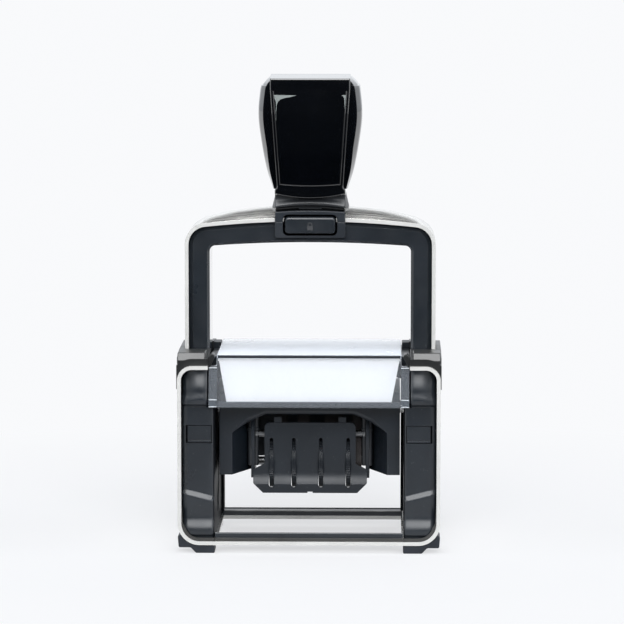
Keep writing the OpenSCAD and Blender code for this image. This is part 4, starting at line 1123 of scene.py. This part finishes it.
def blockMesh(name, blocks):  # (place, turn about X, size), millimetres and radians
    mesh = bpy.data.meshes.new(name)
    mesh.from_pydata([Vector(place) * mm for place, turn, size in blocks], [], [])
    turns, sizes = (mesh.attributes.new(label, "FLOAT_VECTOR", "POINT") for label in ("turn", "size"))
    for i, (place, turn, size) in enumerate(blocks):
        turns.data[i].vector = (turn, 0, 0)
        sizes.data[i].vector = Vector(size) * mm
    return mesh


wheels = settings(ridges=80, ridgeTall=0.8, ridgeWide=0.34, thick=1.6, hub=3.9, ease=0.12)
wheelGrow, springGrow, typeGrow = wheelTree(), springTree(), typeTree()
for node in wheelNodes:
    s = wheels
    low, high = span(node)
    piece = grown(camel(node), wheelGrow, Radius=(high.z - low.z - s.ridgeTall) / 2 * mm,
                  Thick=s.thick * mm, Ridges=s.ridges, RidgeTall=s.ridgeTall * mm,
                  RidgeWide=s.ridgeWide * mm,
                  HubRadius=s.hub * mm, HubLong=(high.x - low.x) * mm, Finish=dieMoulded)
    middle = Vector((low.x + s.thick / 2, (low.y + high.y) / 2, (low.z + high.z) / 2))
    piece.data.transform(Matrix.Translation(middle * mm))
    placed(rounded(piece, s.ease, 1, 50), 30, dieMoulded, bodyOf[node], node)
print("setting wheels grown")

springs = settings(wire=0.6, turns=18.0, travel=34.0)
for label, signX in sides:
    s = springs
    low, high = span("spring_" + label)
    tall, wire = high.z - low.z, s.wire
    piece = grown("spring." + label, springGrow, Radius=(high.x - low.x - wire) / 2 * mm,
                  Wire=wire / 2 * mm, Turns=s.turns, Tall=(tall - wire) * mm, Finish=springWire)
    middle = Vector(((low.x + high.x) / 2, 0, low.z + wire / 2))
    piece.data.transform(Matrix.Translation(middle * mm))
    piece.data.shade_smooth()
    placed(piece, None, springWire, "base", "spring_" + label)
    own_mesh(piece)
print("springs grown")

bands = settings(perSide=4, step=1 / 5.4, hubRadius=5.1, noseRadius=2.8, tall=0.7, long=2.6, rim=0.6,
         sink=0.15, edge=0.12)
hub, nose = (sum(span(node), Vector()) / 2 for node in ("wheel_axle", "band_bridge"))
run = Vector((0, nose.y - hub.y, nose.z - hub.z))  # from the wheels to the printing end
for node in ("day_tens_band", "day_units_band", "month_band", "year_band"):
    s = bands
    belt = rounded(cadCopy(node, camel(node)), s.edge, 2, 30)
    low, high = span(node)
    along = run.normalized()
    across = Vector((0, -along.z, along.y))
    blocks = []
    for side in (-1, 1):
        for share in (k * s.step for k in range(1, s.perSide + 1)):
            radius = s.hubRadius + (s.noseRadius - s.hubRadius) * share
            spot = hub + run * share + across * side * (radius + s.tall / 2 - s.sink)
            blocks.append((((low.x + high.x) / 2, spot.y, spot.z), math.atan2(along.z, along.y),
                           (high.x - low.x - 2 * s.rim, s.long, s.tall)))
    types = grown("types", typeGrow, blockMesh("types", blocks), Finish=bandRubber)
    types.data.materials.clear()
    placed(joined(belt, types), 35, bandRubber, "die", node)
print("bands made")


# ink pad: a felt block, crowned downwards and drawn in at its rim

inkPad = settings(crown=0.3, rim=1.6, steps=24, ripple=0.04, fill=0.8)


def makeInkPad():
    s = inkPad
    low, high = span("ink_pad")
    shares = [math.sin((2 * k / s.steps - 1) * math.pi / 2) for k in range(s.steps + 1)]
    points = []
    for v in shares:
        for u in shares:
            edge = min(high.x * (1 - abs(u)), high.y * (1 - abs(v)))
            lift = s.crown * (1 - min(1, edge / s.rim)) ** 2 + s.ripple * math.sin(9 * u) * math.sin(7 * v)
            points.append((high.x * u, high.y * v, low.z + s.ripple + max(0, lift)))
    piece = sheetPiece("inkPad", points, len(shares), (lambda x, y, z: (x, y, high.z),))
    placed(piece, 60, soakedFelt, "cartridge", "ink_pad")


makeInkPad()
print("ink pad made")


# floor, light and camera

studio = settings(side=4.0, front=0.24, paper=(0.78, 0.785, 0.8), glowNear=0.62, near=0.12, far=0.28,
          back=(0.945, 0.953, 0.97), air=(0.93, 0.96, 1))
world = settings(front=0.72, rear=0.92, hole=(-0.13, -0.985, -0.08), holeRim=0.86, holeIn=0.95,
                 holeDark=0.03, beam=0.12, below=0.12, upper=1.5)
lamps = (  # name, place, aim, width, height, power, lights gloss, lights matte
    ("topBox", (0, -0.2, 1.05), (0, 0, 0.06), 1.2, 1.1, 28, True, False),
    ("frontBox", (0, -1.15, 1.05), (0, 0, 0.06), 1.4, 0.6, 15, True, False),
    ("topFill", (0, -0.2, 1.05), (0, 0, 0.06), 1.2, 1.1, 20, False, True),
    ("leftBox", (-1.1, -0.1, 0.45), (0, 0, 0.08), 0.4, 0.9, 3.6, True, True),
    ("rightBox", (1.1, -0.1, 0.45), (0, 0, 0.08), 0.4, 0.9, 4.2, True, True),
    ("frontFill", (0.1, -1.6, 0.75), (0, 0, 0.06), 1.2, 0.5, 18, False, True),
)
view = settings(azimuth=1.3, elevation=6.3, aim=(0.0004, 0, 0.0792), distance=1.2, lens=200.0, sensor=36)


def mixedOutput(tree, kind, share, first, second):
    links = (("Fac", share), (1, first.outputs[0]), (2, second.outputs[0]))
    mix = addNode(tree, "ShaderNodeMixShader", links)
    addNode(tree, kind, (("Surface", mix.outputs[0]),))


def makeFloor():
    s, half, front = studio, studio.side / mm, -studio.front / mm
    corners = [(-half, front, 0), (half, front, 0), (half, half, 0), (-half, half, 0)]
    floor = meshPiece("floor", corners, [(0, 1, 2, 3)])
    paper = bpy.data.materials.new("palePaper")
    tree = clearedTree(paper)
    sheet = addNode(tree, "ShaderNodeBsdfDiffuse", (("Color", (*s.paper, 1)),))
    glow = addNode(tree, "ShaderNodeEmission", (("Color", (*s.back, 1)),))
    coords = addNode(tree, "ShaderNodeTexCoord").outputs["Object"]
    away = addNode(tree, "ShaderNodeVectorMath", ((0, coords),), operation="LENGTH").outputs["Value"]
    path = addNode(tree, "ShaderNodeLightPath").outputs
    seen = path["Is Camera Ray"]  # these rays see the pale background, and the shadow near the stamp
    for name in ("Is Glossy Ray", "Is Transmission Ray"):
        seen = maths(tree, "MAXIMUM", seen, path[name])
    share = maths(tree, "MULTIPLY", seen, spread(tree, away, s.glowNear, 1, s.near, s.far))
    mixedOutput(tree, "ShaderNodeOutputMaterial", share, sheet, glow)
    floor.data.materials.append(paper)


def makeWorld():
    s = world
    sky = bpy.data.worlds.new("studio")
    bpy.context.scene.world = sky
    tree = clearedTree(sky)
    toward = addNode(tree, "ShaderNodeTexCoord").outputs["Generated"]
    split = addNode(tree, "ShaderNodeSeparateXYZ", ((0, toward),)).outputs
    hole = addNode(tree, "ShaderNodeVectorMath", ((0, toward), (1, s.hole)), operation="DOT_PRODUCT")
    level = spread(tree, split["Y"], s.front, s.rear, -0.35, 0.3)
    beam = maths(tree, "MAXIMUM", spread(tree, split["Z"], 1, s.beam, 0.32, 0.52),
                 spread(tree, split["Y"], 1, s.beam, -0.2, 0.05))
    for share in (
            spread(tree, split["Z"], 1, s.upper, 0.15, 0.28),  # the backdrop brightens upwards
            beam,  # unlit ceiling between the backdrop and the overhead box
            spread(tree, split["Z"], s.below, 1, -0.3, 0.02),
            spread(tree, hole.outputs["Value"], 1, s.holeDark, s.holeRim, s.holeIn)):  # round the lens
        level = maths(tree, "MULTIPLY", level, share)
    room = addNode(tree, "ShaderNodeBackground", (("Color", (*studio.air, 1)), ("Strength", level)))
    back = addNode(tree, "ShaderNodeBackground", (("Color", (*studio.back, 1)),))
    seen = addNode(tree, "ShaderNodeLightPath").outputs["Is Camera Ray"]
    mixedOutput(tree, "ShaderNodeOutputWorld", seen, room, back)


def makeLamps():
    for name, place, aim, width, height, power, gloss, matte in lamps:
        light = bpy.data.lights.new(name, "AREA")
        light.shape = "RECTANGLE"
        light.size, light.size_y, light.energy = width, height, power
        lamp = linked(name, light)
        lamp.location = place
        lamp.visible_glossy, lamp.visible_diffuse = gloss, matte
        lamp.rotation_euler = (Vector(aim) - Vector(place)).to_track_quat("-Z", "Y").to_euler()


def makeCamera():
    a, e = math.radians(view.azimuth), math.radians(view.elevation)
    away = Vector((math.sin(a) * math.cos(e), -math.cos(a) * math.cos(e), math.sin(e)))
    data = bpy.data.cameras.new("photoView")
    data.lens, data.sensor_width = view.lens, view.sensor
    camera = linked("photoView", data)
    camera.location = Vector(view.aim) + away * view.distance
    camera.rotation_euler = (-away).to_track_quat("-Z", "Y").to_euler()
    bpy.context.scene.camera = camera


makeFloor()
makeWorld()
makeLamps()
makeCamera()
bpy.context.scene.view_settings.view_transform = "Standard"
print("studio set")
